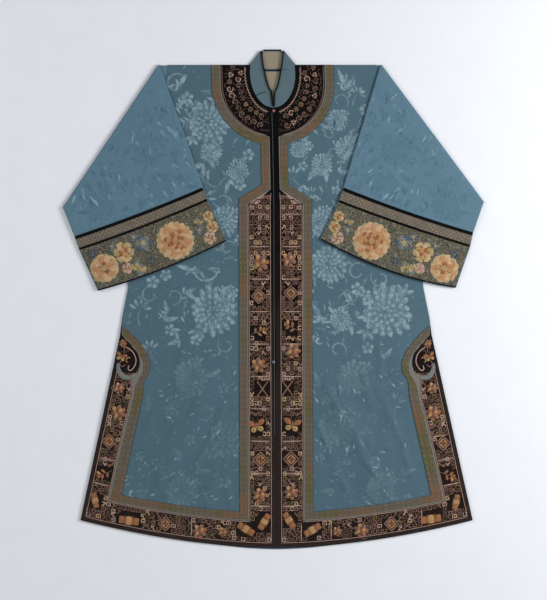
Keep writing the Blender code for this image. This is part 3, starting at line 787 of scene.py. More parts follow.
def near(points, outline, gap):
    """Which points lie closer than a gap to an outline's edges."""
    found = np.zeros(len(points), dtype=bool)
    for a, b in zip(outline, outline[1:] + outline[:1]):
        a, b = np.array(a), np.array(b)
        run = b - a
        share = np.clip(((points - a) @ run) / max(1e-12, run @ run), 0, 1)
        found |= np.linalg.norm(points - a - share[:, None] * run, axis=1) < gap
    return found


def anticlockwise(outline):
    turn = sum(ax * by - bx * ay for (ax, ay), (bx, by) in zip(outline, outline[1:] + outline[:1]))
    return outline if turn > 0 else outline[::-1]


def figured(outline, figures, height, strength=lambda x, y: 1.0, pitch=PITCH):
    """A sheet whose faces know whether they are figure or ground. height gives each point its z."""
    outline = [tuple(point[:2]) for point in outline]
    low, high = np.min(outline, axis=0), np.max(outline, axis=0)
    xs, ys = np.arange(low[0], high[0], pitch), np.arange(low[1], high[1], pitch * ROW_STEP)
    grid = np.array([(x + (pitch / 2 if row % 2 else 0), y) for row, y in enumerate(ys) for x in xs])
    grid = grid[inside(grid, outline) & ~near(grid, outline, pitch * EDGE_ROOM)]
    corners = np.array([corner for figure, _ in figures for corner in figure] or [(9.0, 9.0)])
    fits = inside(corners, outline) & ~near(corners, outline, FIGURE_ROOM)
    kept, tones, first = [], [0.0], 0
    for figure, tone in figures:
        if fits[first:first + len(figure)].all():
            kept.append(anticlockwise(figure))
            tones.append(tone)
        first += len(figure)
    outline = anticlockwise(outline)
    points = [Vector(point) for point in outline]
    loops = [list(range(len(points)))]
    for figure in kept:
        loops.append(list(range(len(points), len(points) + len(figure))))
        points += [Vector(point) for point in figure]
    points += [Vector(point) for point in grid]
    flat, _, faces, _, _, origin = delaunay_2d_cdt(points, [], loops, 1, 1e-6)
    bm = bmesh.new()
    layer = bm.faces.layers.float.new("figure")
    bm.loops.layers.uv.new("weave")
    verts = [bm.verts.new((x, y, height(x, y))) for x, y in flat]
    for corners, source in zip(faces, origin):
        if 0 not in source:
            continue
        face = bm.faces.new([verts[corner] for corner in corners])
        middle = face.calc_center_median()
        face[layer] = strength(middle.x, middle.y) * tones[max(source)]
    for vertex in [vertex for vertex in bm.verts if not vertex.link_faces]:
        bm.verts.remove(vertex)
    face_up(bm)
    print("woven sheet:", len(bm.faces), "faces,", len(kept), "of", len(figures), "outlines kept")
    return bm

# %% [markdown]
# The body is blue-green silk damask. The ground has a quiet sheen, and the figure, in the other face of the
# satin, is paler and a little glossier. Fine warp and weft threads give the bump, and slow noise gives the
# uneven fading of old dye. Streaks of painted highlight and painted shade, from noise, lie over it all.

# %% Silk finishes
BODY_GROUND = dye(66, 93, 106)
BODY_FIGURE = dye(126, 150, 158)
BODY_SHADE = dye(52, 78, 92)
# The sleeves show the same damask with its sheen reversed, since the weave turns with the sleeve: the ground
# is painted paler, the figure darker as painted shade, with pale painted glints.
SLEEVE_GROUND = dye(80, 111, 128)
SLEEVE_SHADE = dye(56, 86, 103)
SLEEVE_GLINT = dye(118, 146, 160)


def damask(name, ground, figure, shade):
    """Silk whose figure is pale where the attribute is over 0, and dark, a painted shade, where it is under
    0.
    """
    silk = Finish(name)
    woven = silk.mask("figure")
    pale = silk.place.sum("MAXIMUM", woven, 0.0)
    dark = silk.place.sum("MAXIMUM", 0.0 - woven, 0.0)
    fading = silk.place.noise(3.2, 4.0, 0.6)
    mottle = silk.place.noise(190.0, 3.0, 0.6)
    slub = silk.place.moved((30.0, 420.0, 1.0)).noise(1.0, 2.0)
    # The next two noise masks paint streaks of highlight and streaks of shade into the colour.
    glint = silk.place.moved((1.0, 1.7, 1.0), 35).noise(80.0, 3.0).step(0.64, 0.72)
    shade_streak = silk.place.moved((1.5, 1.0, 1.0), 25, (3.0, 7.0, 0.0)).noise(55.0, 3.0).step(0.62, 0.74)
    warp = silk.place.part("X").wave(0.0009)
    weft = silk.place.part("Y").wave(0.0012)
    broken = (mottle * 0.5 + silk.place.noise(95.0, 2.0) * 0.5).step(0.38, 0.56) * 0.62 + 0.40
    colour = silk.colour(figure).over(silk.colour(ground), pale * broken)
    colour = silk.colour(shade).over(colour, dark * broken * 0.8)
    # Painted highlight streaks, then painted shade streaks.
    colour = silk.colour(figure).over(colour, glint * 0.30)
    colour = silk.colour(shade).over(colour, shade_streak * 0.38)
    colour = colour.tinted(0.82, 1.16, fading * 0.6 + mottle * 0.25 + slub * 0.15)
    rough = 0.58 - pale * 0.12 + dark * 0.06 + (mottle - 0.5) * 0.14
    bump = warp * (1 - pale) * 0.4 + weft * 0.4 + slub * 0.5 + mottle * 0.8 + pale * 0.6
    return silk.fill(colour, rough, bump, 0.00022, specular_ior_level=0.24, sheen_weight=0.06,
                     sheen_roughness=0.4)


body_damask = damask("body_damask", BODY_GROUND, BODY_FIGURE, BODY_SHADE)
sleeve_damask = damask("sleeve_damask", SLEEVE_GROUND, SLEEVE_GLINT, SLEEVE_SHADE)


def plain_silk(name, base, low=0.86, high=1.1):
    silk = Finish(name)
    fading = silk.place.noise(9.0, 3.0)
    slub = silk.place.moved((60.0, 500.0, 1.0)).noise(1.0, 3.0)
    threads = silk.place.part("X").wave(0.0011) * silk.place.part("Y").wave(0.0011)
    colour = silk.colour(base).tinted(low, high, fading * 0.6 + slub * 0.4)
    return silk.fill(colour, 0.6 + (slub - 0.5) * 0.2, threads + slub, 0.00018, specular_ior_level=0.22)


collar_silk = plain_silk("collar_silk", dye(78, 98, 106), 0.80, 1.2)
cream_lining = plain_silk("cream_lining", dye(142, 132, 114), 0.72, 1.12)

# %% [markdown]
# The bands are sewn from black satin. Satin is woven so that long threads float on its face, which makes it
# shine along them, and old black satin turns brown where it has rubbed, here towards the hem.

# %% Satin, ribbon and braid finishes
def black_satin(name, base, brown=1.0):
    satin = Finish(name)
    wear = (satin.place.part("Y") * -1.0 + satin.place.noise(8.0, 3.0) * 0.5).step(-0.05, 0.75) * brown
    rub = satin.place.noise(70.0, 3.0)
    float_thread = satin.place.moved((1.0, 1.0, 1.0), 35).part("X").wave(0.0012)
    colour = satin.colour(dye(46, 36, 33)).over(satin.colour(base), wear * 0.8)
    colour = colour.tinted(0.6, 1.5, rub)
    bump = float_thread * 0.5 + rub
    return satin.fill(colour, 0.46 + rub * 0.16, bump, 0.00018, specular_ior_level=0.06)


satin = black_satin("black_satin", dye(3, 4, 7))
band_satin = black_satin("band_satin", dye(12, 7, 8), 0.4)


def woven_ribbon():
    """Olive ribbon with small woven sprigs in changing colours between two dark selvedges."""
    ribbon = Finish("olive_ribbon")
    run, across = ribbon.weave.part("X"), ribbon.weave.part("Y")
    fade = ribbon.place.noise(9.0, 1.0)
    warm = ribbon.place.moved((1.0, 1.0, 1.0), 0.0, (5.0, 3.0, 0.0)).noise(7.0, 1.0)
    sprig = (run.wave(0.0150) * across.wave(RIBBON / 1.5) + run.wave(0.0063) * 0.5).step(0.55, 0.95)
    vine = (run.wave(0.030) * 0.5 + across.wave(0.0068) * 0.8).step(0.75, 0.95)
    weft = run.wave(0.0011)
    edge = (across * (RIBBON - across)).step(0.000006, 0.000020)
    fibre = ribbon.place.noise(420.0, 2.0)
    ground = ribbon.colour(dye(82, 77, 51)).over(ribbon.colour(dye(86, 78, 69)), fade.step(0.46, 0.58))
    ground = ribbon.colour(dye(104, 77, 57)).over(ground, warm.step(0.50, 0.72))
    thread = ribbon.colour(dye(128, 96, 70)).over(ribbon.colour(dye(112, 110, 84)), warm.step(0.45, 0.58))
    colour = thread.over(ground, sprig * 0.30 + vine * 0.14)
    colour = colour.over(ribbon.colour(dye(60, 56, 47)), edge)
    colour = colour.tinted(0.69, 1.17, fibre)
    bump = weft * 0.3 + sprig * 0.9 + vine * 0.5 + fibre
    return ribbon.fill(colour, 0.72 + (fibre - 0.5) * 0.2, bump, 0.0003, specular_ior_level=0.2)


TWIST = 0.0032


def corded_braid(name, pale, dark):
    """A flat braid of two twisted cords."""
    braid = Finish(name)
    run, across = braid.weave.part("X"), braid.weave.part("Y")
    twist = (run + across * 0.8).wave(TWIST)
    fibre = braid.place.noise(500.0, 2.0)
    colour = braid.colour(pale).over(braid.colour(dark), twist.step(0.15, 0.7)).tinted(0.75, 1.2, fibre)
    return braid.fill(colour, 0.66 + (fibre - 0.5) * 0.2, twist + fibre * 0.4, 0.0004,
                      specular_ior_level=0.25)


olive_ribbon = woven_ribbon()
pale_braid = corded_braid("pale_braid", dye(132, 130, 122), dye(62, 58, 54))
edge_braid = corded_braid("edge_braid", dye(84, 88, 82), dye(30, 34, 34))


def gold_band():
    """The narrow band of the cuff, brocaded with small linked lozenges in pale gold."""
    band = Finish("gold_band")
    run, across = band.weave.part("X"), band.weave.part("Y")
    left, right = (run + across).wave(0.0115), (run - across).wave(0.0115)
    lozenge = (left * right).step(0.42, 0.60)
    outline = band.place.sum("ABSOLUTE", left - right).step(0.20, 0.05)
    fibre = band.place.noise(380.0, 2.0)
    weft = run.wave(0.0012)
    # Patches where the gold lozenges are worn away.
    scatter = band.place.noise(75.0, 3.0).step(0.36, 0.60) * 0.72 + 0.14
    colour = band.colour(dye(158, 134, 104)).over(band.colour(dye(82, 77, 68)), lozenge * scatter)
    colour = band.colour(dye(112, 90, 80)).over(colour, band.place.noise(42.0, 3.0).step(0.52, 0.66) * 0.5)
    colour = band.colour(dye(132, 122, 102)).over(colour, outline * 0.55).tinted(0.78, 1.22, fibre)
    bump = lozenge * 1.2 + outline * 0.8 + weft * 0.4 + fibre * 0.6
    return band.fill(colour, 0.62 + (fibre - 0.5) * 0.2, bump, 0.0004, specular_ior_level=0.3)


def knotted_ground():
    """The wide cuff band's ground, filled with rows of fine seed knots."""
    ground = Finish("knotted_ground")
    seed = ground.place.node("ShaderNodeTexVoronoi", {}, {"Vector": ground.place, "Scale": 360.0})
    patch = ground.place.noise(60.0, 3.0)
    knot = 1 - seed.step(0.25, 0.75)
    colour = ground.colour(dye(106, 101, 84)).over(ground.colour(dye(45, 44, 38)), knot)
    colour = ground.colour(dye(92, 82, 62)).over(colour, patch.step(0.5, 0.7) * 0.6)
    colour = ground.colour(dye(84, 88, 82)).over(colour, (1 - patch).step(0.54, 0.7) * 0.5)
    pale = ground.place.moved((1.0, 1.0, 1.0), 0.0, (4.0, 2.0, 0.0)).noise(120.0, 3.0).step(0.54, 0.66)
    colour = ground.colour(dye(146, 140, 126)).over(colour, knot * pale * 0.7)
    return ground.fill(colour, 0.78 + (patch - 0.5) * 0.2, knot, 0.0006, specular_ior_level=0.2)


gold_brocade = gold_band()
cuff_ground = knotted_ground()

# %% [markdown]
# The back lies under everything. Only its edge and its hem peep out, but from below it is the whole
# underside, so it is a full panel of the same damask.

# %% The back of the robe
def back_outline():
    ends = [seam_spot(LENGTH, column) for column in spread((0, 1, 4, 5, 9), 0.34)]
    hem = [(u, v + BACK_PEEP * smooth(0.5, 0.0, u / HALF_HEM)) for u, v in ends[:-1]]
    side = [(along(SIDE, -v), -v) for v in spread([-level for level in BACK_SIDE], 0.03)]
    half = hem + side + list(BACK_NECK)
    left = [place("left", u, v) for u, v in half]
    right = [place("right", u, v) for u, v in half]
    return right + left[::-1]


dress("back_panel_silk", figured(back_outline(), [], lambda x, y: 0.0, pitch=0.03),
      [body_damask], ["back_panel"], PANEL)

# %% [markdown]
# Each front is one figured sheet from the shoulder to the hem. Its figures fade towards the hem, where the
# silk is most creased and worn.

# %% The two fronts
COLUMN_STEPS = (0.5, 0.125, 0.5, 0.25, 0.034, 0.25, 0.5, 0.125, 0.5)
COLUMNS = sorted({at for seam, step in enumerate(COLUMN_STEPS) for at in spread((seam, seam + 1), step)})
FINE_LEVELS = spread(LEVELS, 0.008)
cut = [[seam_spot(level, column) for column in COLUMNS] for level in FINE_LEVELS]
print("grid of the fronts:", len(FINE_LEVELS), "rows,", len(COLUMNS), "columns")


def lifted(side, u, v, base):
    return place(side, u, v, base + relief(-u if side == "left" else u, v))


def front_outline(side):
    edge = [row[0] for row in cut] + cut[-1][1:] + [row[-1] for row in cut[-2::-1]]
    top = [cut[0][column] for column in range(len(COLUMNS) - 2, 0, -1)]
    return [place(side, u, v) for u, v in edge + top]


def figure_strength(x, y):
    v = SHOULDER_Y - y
    return 1.0 - 0.78 * smooth(0.70, 0.82, v) + 0.12 * math.sin(70 * x) * math.sin(55 * y)


LOW_STROKES, HIGH_STROKES = 330, 150
FRONT_WORK = (
    # side, figures, then two corners and the direction of the strokes low down, and of those high up
    ("left", FIGURES_LEFT, (-0.42, -0.56), (-0.08, 0.0), 40, (-0.30, -0.06), (-0.08, 0.60), 70),
    ("right", FIGURES_RIGHT, (0.08, -0.56), (0.42, 0.0), -52, (0.08, -0.06), (0.30, 0.60), 100),
)
for side, table, low, high, turn, upper_low, upper_high, upper_turn in FRONT_WORK:
    # Low down, the pale and dark strokes paint glints and crease shade on the crumpled silk; higher up,
    # larger, mostly pale strokes fill the ground between the figures.
    scatter = strokes(LOW_STROKES, low, high, turn, 50, 0.45)
    scatter = [(shape, tone / figure_strength(*shape[0])) for shape, tone in scatter]
    scatter += strokes(HIGH_STROKES, upper_low, upper_high, upper_turn, 80, 0.1, 1.7)
    sheet = figured(front_outline(side), drawn(table) + scatter,
                    lambda x, y: FRONT_Z + relief(*measure((x, y))), figure_strength)
    dress(f"front_{side}_silk", ease(sheet), [body_damask], [f"front_{side}"], PANEL)

# %% [markdown]
# Five strips lie on each front, one inside the other: the black edge binding, the yoke with the
# embroidered band below it, a narrow braid and the olive ribbon. They turn the corner at the hem with a
# mitre and run up the slit. The same grid of seams gives them all, so they meet as they do on the robe.

# %% The strips on the fronts
LAST_ROW = len(LEVELS) - 2
SLIT_ROW = ROWS.index(CLOUD_TOP)
STRIP_WIDTHS = (BINDING, WIDE - RIBBON - BRAID - BINDING, BRAID, RIBBON)


def ring_at(row, column):
    """The coarse cell of a fine one, the strip it lies in, and the branch: front edge, hem or slit."""
    level = (FINE_LEVELS[row] + FINE_LEVELS[row + 1]) / 2
    across = (COLUMNS[column] + COLUMNS[column + 1]) / 2
    coarse = next(number for number in range(len(LEVELS) - 1) if level < LEVELS[number + 1])
    rise = (LEVELS[coarse + 1] - level) / (LEVELS[coarse + 1] - LEVELS[coarse])
    depths = [across, LAST_ROW - coarse + rise]
    if coarse >= SLIT_ROW:
        depths.append(LAST_SEAM - across)
    least = min(depths)
    return coarse, int(least), depths.index(least)


rings = {(row, column): ring_at(row, column)
         for row in range(len(FINE_LEVELS) - 1) for column in range(len(COLUMNS) - 1)}


def strip_of(row, column):
    coarse, ring, branch = rings[row, column]
    if ring == 0 and not (branch == 0 and coarse < ROWS.index(NECK_EDGE)):
        return "binding"
    if ring == 0 or (ring == 1 and branch == 0 and coarse < ROWS.index(YOKE_FOOT)):
        return "yoke"
    if ring == 1 and (branch or coarse >= ROWS.index(BAND_TOP)):
        return "border"
    return {2: "braid", 3: "ribbon"}.get(ring)


def strip_weave(row, column, key):
    """Place along and across a strip, in metres."""
    _, ring, branch = rings[row, column]
    u, v = cut[key[0]][key[1]]
    width = STRIP_WIDTHS[min(ring, 3)]
    if branch == 0:
        return v, (COLUMNS[key[1]] - ring) * width
    if branch == 2:
        return 3.0 - v, (LAST_SEAM - COLUMNS[key[1]] - ring) * width
    level = FINE_LEVELS[key[0]]
    coarse = max(number for number in range(len(LEVELS) - 1) if LEVELS[number] <= level + 1e-9)
    rise = LAST_ROW - coarse + (LEVELS[coarse + 1] - level) / (LEVELS[coarse + 1] - LEVELS[coarse])
    return 5.0 + u, (rise - ring) * width


STRIP_LOOKS = {
    "binding": (satin, "satin"),
    "yoke": (band_satin, "embroidery"),
    "border": (band_satin, "embroidery"),
    "braid": (pale_braid, "braid"),
    "ribbon": (olive_ribbon, "ribbon"),
}
for side in ("left", "right"):
    points = [[lifted(side, u, v, TRIM_Z) for u, v in row] for row in cut]
    for strip, (look, slot) in STRIP_LOOKS.items():
        bm = ease(lattice(points, strip_weave, lambda row, column: strip_of(row, column) == strip))
        made = dress(f"{strip}_{side}_cloth", bm, [look], [f"{strip}_{side}"], TRIM)
        print(made.name, len(made.data.polygons), "faces")

# %% [markdown]
# A sleeve is a flat tube. It runs out from the armhole, folds forward along a line from the shoulder, and
# lies on the front with its back face up, so each sleeve has two levels. The face that shows is figured,
# and the rest of the tube is a plain grid joined to it point by point.

# %% The folded sleeves
SLEEVES = {
    # inner end u and v, outer end u and v, bow down
    "left": ((0.2930, 0.0013, 0.5504, 0.374, 0.0), (0.1872, 0.3185, 0.5223, 0.4459, 0.004),
             (0.1748, 0.3510, 0.5107, 0.4797, 0.005), (0.1258, 0.4576, 0.4617, 0.5876, 0.010)),
    "right": ((0.2800, 0.0013, 0.5400, 0.360, 0.0), (0.1768, 0.3185, 0.5139, 0.4355, 0.005),
              (0.1632, 0.3549, 0.5060, 0.4719, 0.004), (0.1160, 0.4537, 0.4680, 0.5798, 0.019)),
}
STATIONS = (0.0, 0.25, 0.5, 0.75, 1.0, 1.17, 1.88, 2.04, 2.36, 2.67, 2.965, 3.0)
SLEEVE_HALF = PANEL + SEAM_GAP / 2
SLEEVE_WALL = 0.0013
DROOP, DROOP_START, DROOP_END = 0.0034, 0.040, 0.110
SLEEVE_COLUMNS = 40
SLEEVE_SHARES = [count / SLEEVE_COLUMNS for count in range(SLEEVE_COLUMNS + 1)]
WELD = 0.00003
SLEEVE_RIPPLES = (
    # out, down, direction, half length, half width, height
    (0.235, 0.090, -62, 0.060, 0.012, 0.0007), (0.290, 0.170, -50, 0.070, 0.013, 0.0006),
    (0.250, 0.250, -30, 0.060, 0.013, 0.0006), (0.380, 0.260, -25, 0.060, 0.014, 0.0006),
    (0.340, 0.330, -20, 0.070, 0.014, 0.0005), (0.440, 0.380, -15, 0.060, 0.013, 0.0005),
    (0.300, 0.080, -75, 0.050, 0.012, 0.0005),
)


def sleeve_spot(side, station, share):
    """The (u, v) of a point on a sleeve's flat plan."""
    lines = SLEEVES[side]
    first = min(int(station), len(lines) - 2)
    part = station - first
    inner_u, inner_v, outer_u, outer_v, bow = (a + part * (b - a)
                                               for a, b in zip(lines[first], lines[first + 1]))
    return (inner_u + share * (outer_u - inner_u),
            inner_v + share * (outer_v - inner_v) + bow * 4 * share * (1 - share))


def sleeve_swell(side, u, v):
    """How the folded part leaves the flat: it droops outside the body and lifts in soft ripples."""
    outside = min(u - along(SIDE, v), v - SLEEVES[side][0][3])
    height = -DROOP * smooth(DROOP_START, DROOP_END, outside)
    for fold in SLEEVE_RIPPLES:
        away, rise = hump(fold, u, v)
        height += rise * math.exp(-away)
    fold_u, fold_v, end_u, end_v, _ = SLEEVES[side][0]
    away = abs((end_u - fold_u) * (v - fold_v) - (end_v - fold_v) * (u - fold_u))
    away /= math.hypot(end_u - fold_u, end_v - fold_v)
    return height + 0.0004 * smooth(0.0, 0.03, away)


def sleeve_point(side, station, share, sideways, upward, turn):
    """A point of a sleeve's wall, where turn is 0 below the fold and 180 above it."""
    ends = []
    for end in (0.0, share, 1.0):
        u, v = sleeve_spot(side, max(0.0, station), end)
        if station < 0:
            arm_v = ARM_TOP + end * (ARM_END - ARM_TOP)
            arm_u = along(SIDE, arm_v) + 2 * SEAM_GAP
            u, v = u - station * (arm_u - u), v - station * (arm_v - v)
        ends.append(Vector((u, v)))
    run = (ends[2] - ends[0]).normalized()
    shift = SLEEVE_HALF * (1 - 2 * share) + sideways * SLEEVE_HALF
    u, v = ends[1].x + run.x * shift, ends[1].y + run.y * shift
    reach = FOLD_AXIS - SLEEVE_HALF * (1 + upward)
    swing = math.sin(math.radians(turn)) * reach
    u, v = u + run.y * swing, v - run.x * swing
    z = FOLD_AXIS - reach * math.cos(math.radians(turn))
    if turn == 180:
        z += sleeve_swell(side, u, v)
    return place(side, u, v, z)


def sleeve_top(side):
    """The height of the face that shows, for any point of the floor plan."""
    return lambda x, y: 2 * FOLD_AXIS + sleeve_swell(side, abs(measure((x, y))[0]), measure((x, y))[1])


RIM = [(math.cos(math.radians(turn)), math.sin(math.radians(turn))) for turn in (60, 30, 0, -30, -60)]
TUBE = [(share, 0.0, -1.0) for share in SLEEVE_SHARES]
TUBE += [(1.0, across, -up) for across, up in RIM]
TUBE += [(share, 0.0, 1.0) for share in reversed(SLEEVE_SHARES)]
TUBE += [(0.0, -across, up) for across, up in RIM]


def sleeve_tube(side):
    """The outer wall of the sleeve, its figured face left open and then filled with the woven sheet."""
    places = [(-1.0, 0), (-0.75, 0), (-0.5, 0), (-0.25, 0), (0.0, 0)]
    places += [(0.0, turn) for turn in (22, 45, 67, 90, 113, 135, 158)]
    above = len(places)
    stations = spread(STATIONS, 0.026)
    places += [(station, 180) for station in stations]
    rings = [[sleeve_point(side, station, *spot, turn) for spot in TUBE] for station, turn in places]
    bm = bmesh.new()
    bm.faces.layers.float.new("figure")
    bm.loops.layers.uv.new("weave")
    verts = [[bm.verts.new(point) for point in ring] for ring in rings]
    stripe = above + stations.index(1.0)
    face_columns = len(SLEEVE_SHARES) - 1
    for layer in range(len(rings) - 1):
        for spot in range(len(TUBE)):
            if above <= layer < stripe and spot < face_columns:
                continue
            other = (spot + 1) % len(TUBE)
            bm.faces.new((verts[layer][spot], verts[layer][other],
                          verts[layer + 1][other], verts[layer + 1][spot]))
    outline = [rings[above][spot] for spot in range(face_columns)]
    outline += [rings[layer][face_columns] for layer in range(above, stripe)]
    outline += [rings[stripe][spot] for spot in range(face_columns, 0, -1)]
    outline += [rings[layer][0] for layer in range(stripe, above, -1)]
    left = side == "left"
    # The sleeve's figures take negative strength, so they are painted darker than the ground: a painted
    # reversal of the sheen.
    figures = [(shape, -0.6 * tone) for shape, tone in drawn(FIGURES_SLEEVE, 1 if left else -1)]
    low, high = ((-0.53, 0.12), (-0.18, 0.56)) if left else ((0.18, 0.12), (0.53, 0.56))
    # The sleeve's strokes, mostly dark, paint streaks of shade and a few glints.
    figures += strokes(340, low, high, 112 if left else 68, 34, 0.7, 1.5)
    woven = figured(outline, figures, sleeve_top(side))
    mesh = bpy.data.meshes.new("woven")
    woven.to_mesh(mesh)
    woven.free()
    bm.from_mesh(mesh)
    bpy.data.meshes.remove(mesh)
    bmesh.ops.remove_doubles(bm, verts=bm.verts, dist=WELD)
    bmesh.ops.recalc_face_normals(bm, faces=bm.faces)
    open_edges = sum(1 for edge in bm.edges if edge.is_boundary)
    print("sleeve", side, len(bm.faces), "faces,", open_edges, "edges at its two open ends")
    return bm


for side in ("left", "right"):
    dress(f"sleeve_{side}_silk", sleeve_tube(side), [sleeve_damask], [f"sleeve_{side}"],
          SLEEVE_WALL, -1.0)

# %% [markdown]
# The cuff is made of five strips: a black satin stripe, a narrow gold band, a second black stripe, the wide
# flowered band and the edge binding.

# %% The strips of the cuffs
CUFF_STRIPS = (
    ("cuff_stripe_upper", 1.0, 1.24, satin, "satin"),
    ("cuff_braid", 1.24, 1.89, gold_brocade, "gold"),
    ("cuff_stripe_lower", 1.89, 2.02, satin, "satin"),
    ("cuff_band", 2.02, 2.965, cuff_ground, "flowers"),
    ("cuff_binding", 2.965, 3.0, satin, "satin"),
)


def cuff_strip(side, first, last):
    rows = spread((first, last), 0.09)
    points = [[sleeve_point(side, station, share, 0.0, -1.0, 180) + Vector((0, 0, TRIM_ROOM))
               for share in SLEEVE_SHARES] for station in rows]
    length = (points[0][-1] - points[0][0]).length
    width = (points[-1][0] - points[0][0]).length
    return lattice(points, lambda row, column, key: (key[1] / SLEEVE_COLUMNS * length,
                                                     key[0] / (len(rows) - 1) * width))


for side in ("left", "right"):
    for name, first, last, look, slot in CUFF_STRIPS:
        bm = ease(cuff_strip(side, first, last))
        dress(f"{name}_{side}_cloth", bm, [look], [f"{name}_{side}"], TRIM)
print("cuff strips:", 2 * len(CUFF_STRIPS))

# %% [markdown]
# The standing collar is a straight band that has been pressed flat: its two fronts fold over at the sides
# of the neck and show their outer face, and its back shows the cream lining.

# %% Collar and linings
COLLAR = 0.0014
COLLAR_LOW, COLLAR_HIGH = 0.00075, 0.0047
COLLAR_PIPE, BACK_PIPE = 0.0017, 0.0013
COLLAR_STATIONS = (
    (NECK_EDGE, 0.0045, 0.0720, 180), (0.111, 0.0090, 0.0630, 180), (0.102, 0.0140, 0.0490, 180),
    (0.085, 0.0185, 0.0300, 180), (0.06, 0.0228, 0.0080, 180), (0.03, 0.0262, -0.0140, 180),
    (0.0, 0.0285, -0.0350, 180), (0.0, 0.0285, -0.0350, 120), (0.0, 0.0285, -0.0350, 60),
    (0.0, 0.0285, -0.0350, 0),
)
LINING_HALF, LINING_LEVEL, LINING_RISE = 0.0265, 0.0075, 0.0410
LINING_BOW, LINING_TOP_BOW = 0.0030, 0.0040
NECK_LINING_ROWS = (0.0175, 0.035, 0.055, 0.075, 0.095, 0.106)
COLLAR_BACK = ((0.0300, 0.0110, 0.0150, -0.0370), (0.0, 0.0130, 0.0, -0.0375))


def neck_point(v, inset):
    u = front_lines(v)[0]
    steep = (v - NECK_LEVEL) / (NECK_DEPTH - NECK_LEVEL + NECK_ROOM) ** 2
    inward = Vector((u / (NECK_HALF + NECK_ROOM) ** 2, steep)).normalized() * inset
    return u - inward.x, v - inward.y


def collar_spot(side, station, share):
    neck_u, neck_v, top_u, top_v, turn = station
    u, v = neck_u + share * (top_u - neck_u), neck_v + share * (top_v - neck_v)
    ruling = Vector((top_u - neck_u, top_v - neck_v)).normalized()
    reach = (COLLAR_HIGH - COLLAR_LOW) / 2
    swing = math.sin(math.radians(turn)) * reach
    z = (COLLAR_HIGH + COLLAR_LOW) / 2 - reach * math.cos(math.radians(turn))
    return place(side, u - ruling.y * swing, v + ruling.x * swing, z)


def eased_rows(rows, steps):
    """More rows on smooth curves through the points of each column."""
    made = []
    for index in range(len(rows) - 1):
        picked = [rows[max(0, min(len(rows) - 1, index + step))] for step in (-1, 0, 1, 2)]
        for step in range(steps):
            t = step / steps
            made.append([0.5 * (2 * b + (c - a) * t + (2 * a - 5 * b + 4 * c - d) * t * t
                                + (3 * b - a - 3 * c + d) * t ** 3) for a, b, c, d in zip(*picked)])
    return made + [rows[-1]]


shares = [step / 8 for step in range(9)]
stations = [(*neck_point(level, 2 * NECK_ROOM), *rest) for level, *rest in COLLAR_STATIONS]
stations += [(*row, 0) for row in COLLAR_BACK]
left = [[collar_spot("left", station, share) for share in shares] for station in stations]
right = [[collar_spot("right", station, share) for share in shares] for station in stations]
dress("collar_silk_band", lattice(eased_rows(left + right[-2::-1], 4)), [collar_silk], ["collar"],
      COLLAR, 0.0)

low = COLLAR_LOW + COLLAR / 2 + SEAM_GAP + TRIM / 2
lining = []
for step in range(9):
    out = LINING_HALF * (1 - step / 4)
    side = "left" if out > 0 else "right"
    bow = 1 - (out / LINING_HALF) ** 2
    lining.append([place(side, abs(out) * (1.5 - 0.6 * share), LINING_LEVEL + LINING_BOW * bow
                         - share * (LINING_RISE + LINING_TOP_BOW * bow), low) for share in shares])
dress("collar_lining_silk", ease(lattice(lining)), [cream_lining], ["collar_lining"], TRIM, 0.0)

rows = []
for v in spread(NECK_LINING_ROWS, 0.006):
    half = neck(v, -NECK_ROOM)
    rows.append([place("left", -half * share, v, FRONT_Z) for share in [step / 6 - 1 for step in range(13)]])
dress("neck_lining_silk", ease(lattice(rows)), [cream_lining], ["neck_lining"], TRIM)

# %% [markdown]
# Round piping edges the neck and the collar. Each is a cord rolled in bias-cut satin, so it is a thin tube
# along the same points as its solid.

# %% Pipings
CORD_SIDES = 8
SEAM_CORD, EDGE_CORD, FOLD_CORD = 0.0007, 0.0008, 0.0012
EDGE_CORD_OUT = 0.0042
NECK_BACK = ((-0.036, 0.0112), (-0.018, 0.0140), (0.018, 0.0140), (0.036, 0.0112))
COLLAR_RIM = ((-0.0235, -0.0375), (0.0, -0.0380), (0.0235, -0.0375))
COLLAR_SEAM = ((0.0475, 0.0825), (0.0380, 0.0770), (0.0280, 0.0730), (0.0185, 0.0712))
COLLAR_END = ((0.0185, 0.0712), (0.0115, 0.0760), (0.0075, 0.0850), (0.0062, 0.0980))


def pipe(name, points, radius, look, node):
    """A closed round cord through some points."""
    rows = eased_rows([[point] for point in points], 5)
    path = [row[0] for row in rows]
    bm = bmesh.new()
    layer = bm.loops.layers.uv.new("weave")
    rings, run, runs = [], 0.0, []
    for index, point in enumerate(path):
        ahead = (path[min(len(path) - 1, index + 1)] - path[max(0, index - 1)]).normalized()
        aside = ahead.cross(Vector((0, 0, 1))).normalized()
        over = aside.cross(ahead).normalized()
        if index:
            run += (point - path[index - 1]).length
        runs.append(run)
        turns = [math.tau * spot / CORD_SIDES for spot in range(CORD_SIDES)]
        rings.append([bm.verts.new(point + radius * (math.cos(turn) * aside + math.sin(turn) * over))
                      for turn in turns])
    for index in range(len(rings) - 1):
        for spot in range(CORD_SIDES):
            other = (spot + 1) % CORD_SIDES
            face = bm.faces.new((rings[index][spot], rings[index][other],
                                 rings[index + 1][other], rings[index + 1][spot]))
            for loop, at in zip(face.loops, ((index, spot), (index, spot + 1), (index + 1, spot + 1),
                                             (index + 1, spot))):
                loop[layer].uv = (runs[at[0]], at[1] * math.tau * radius / CORD_SIDES)
    bm.faces.new(rings[0])
    bm.faces.new(rings[-1])
    bmesh.ops.recalc_face_normals(bm, faces=bm.faces)
    return dress(name, bm, [look], [node] if node else [])


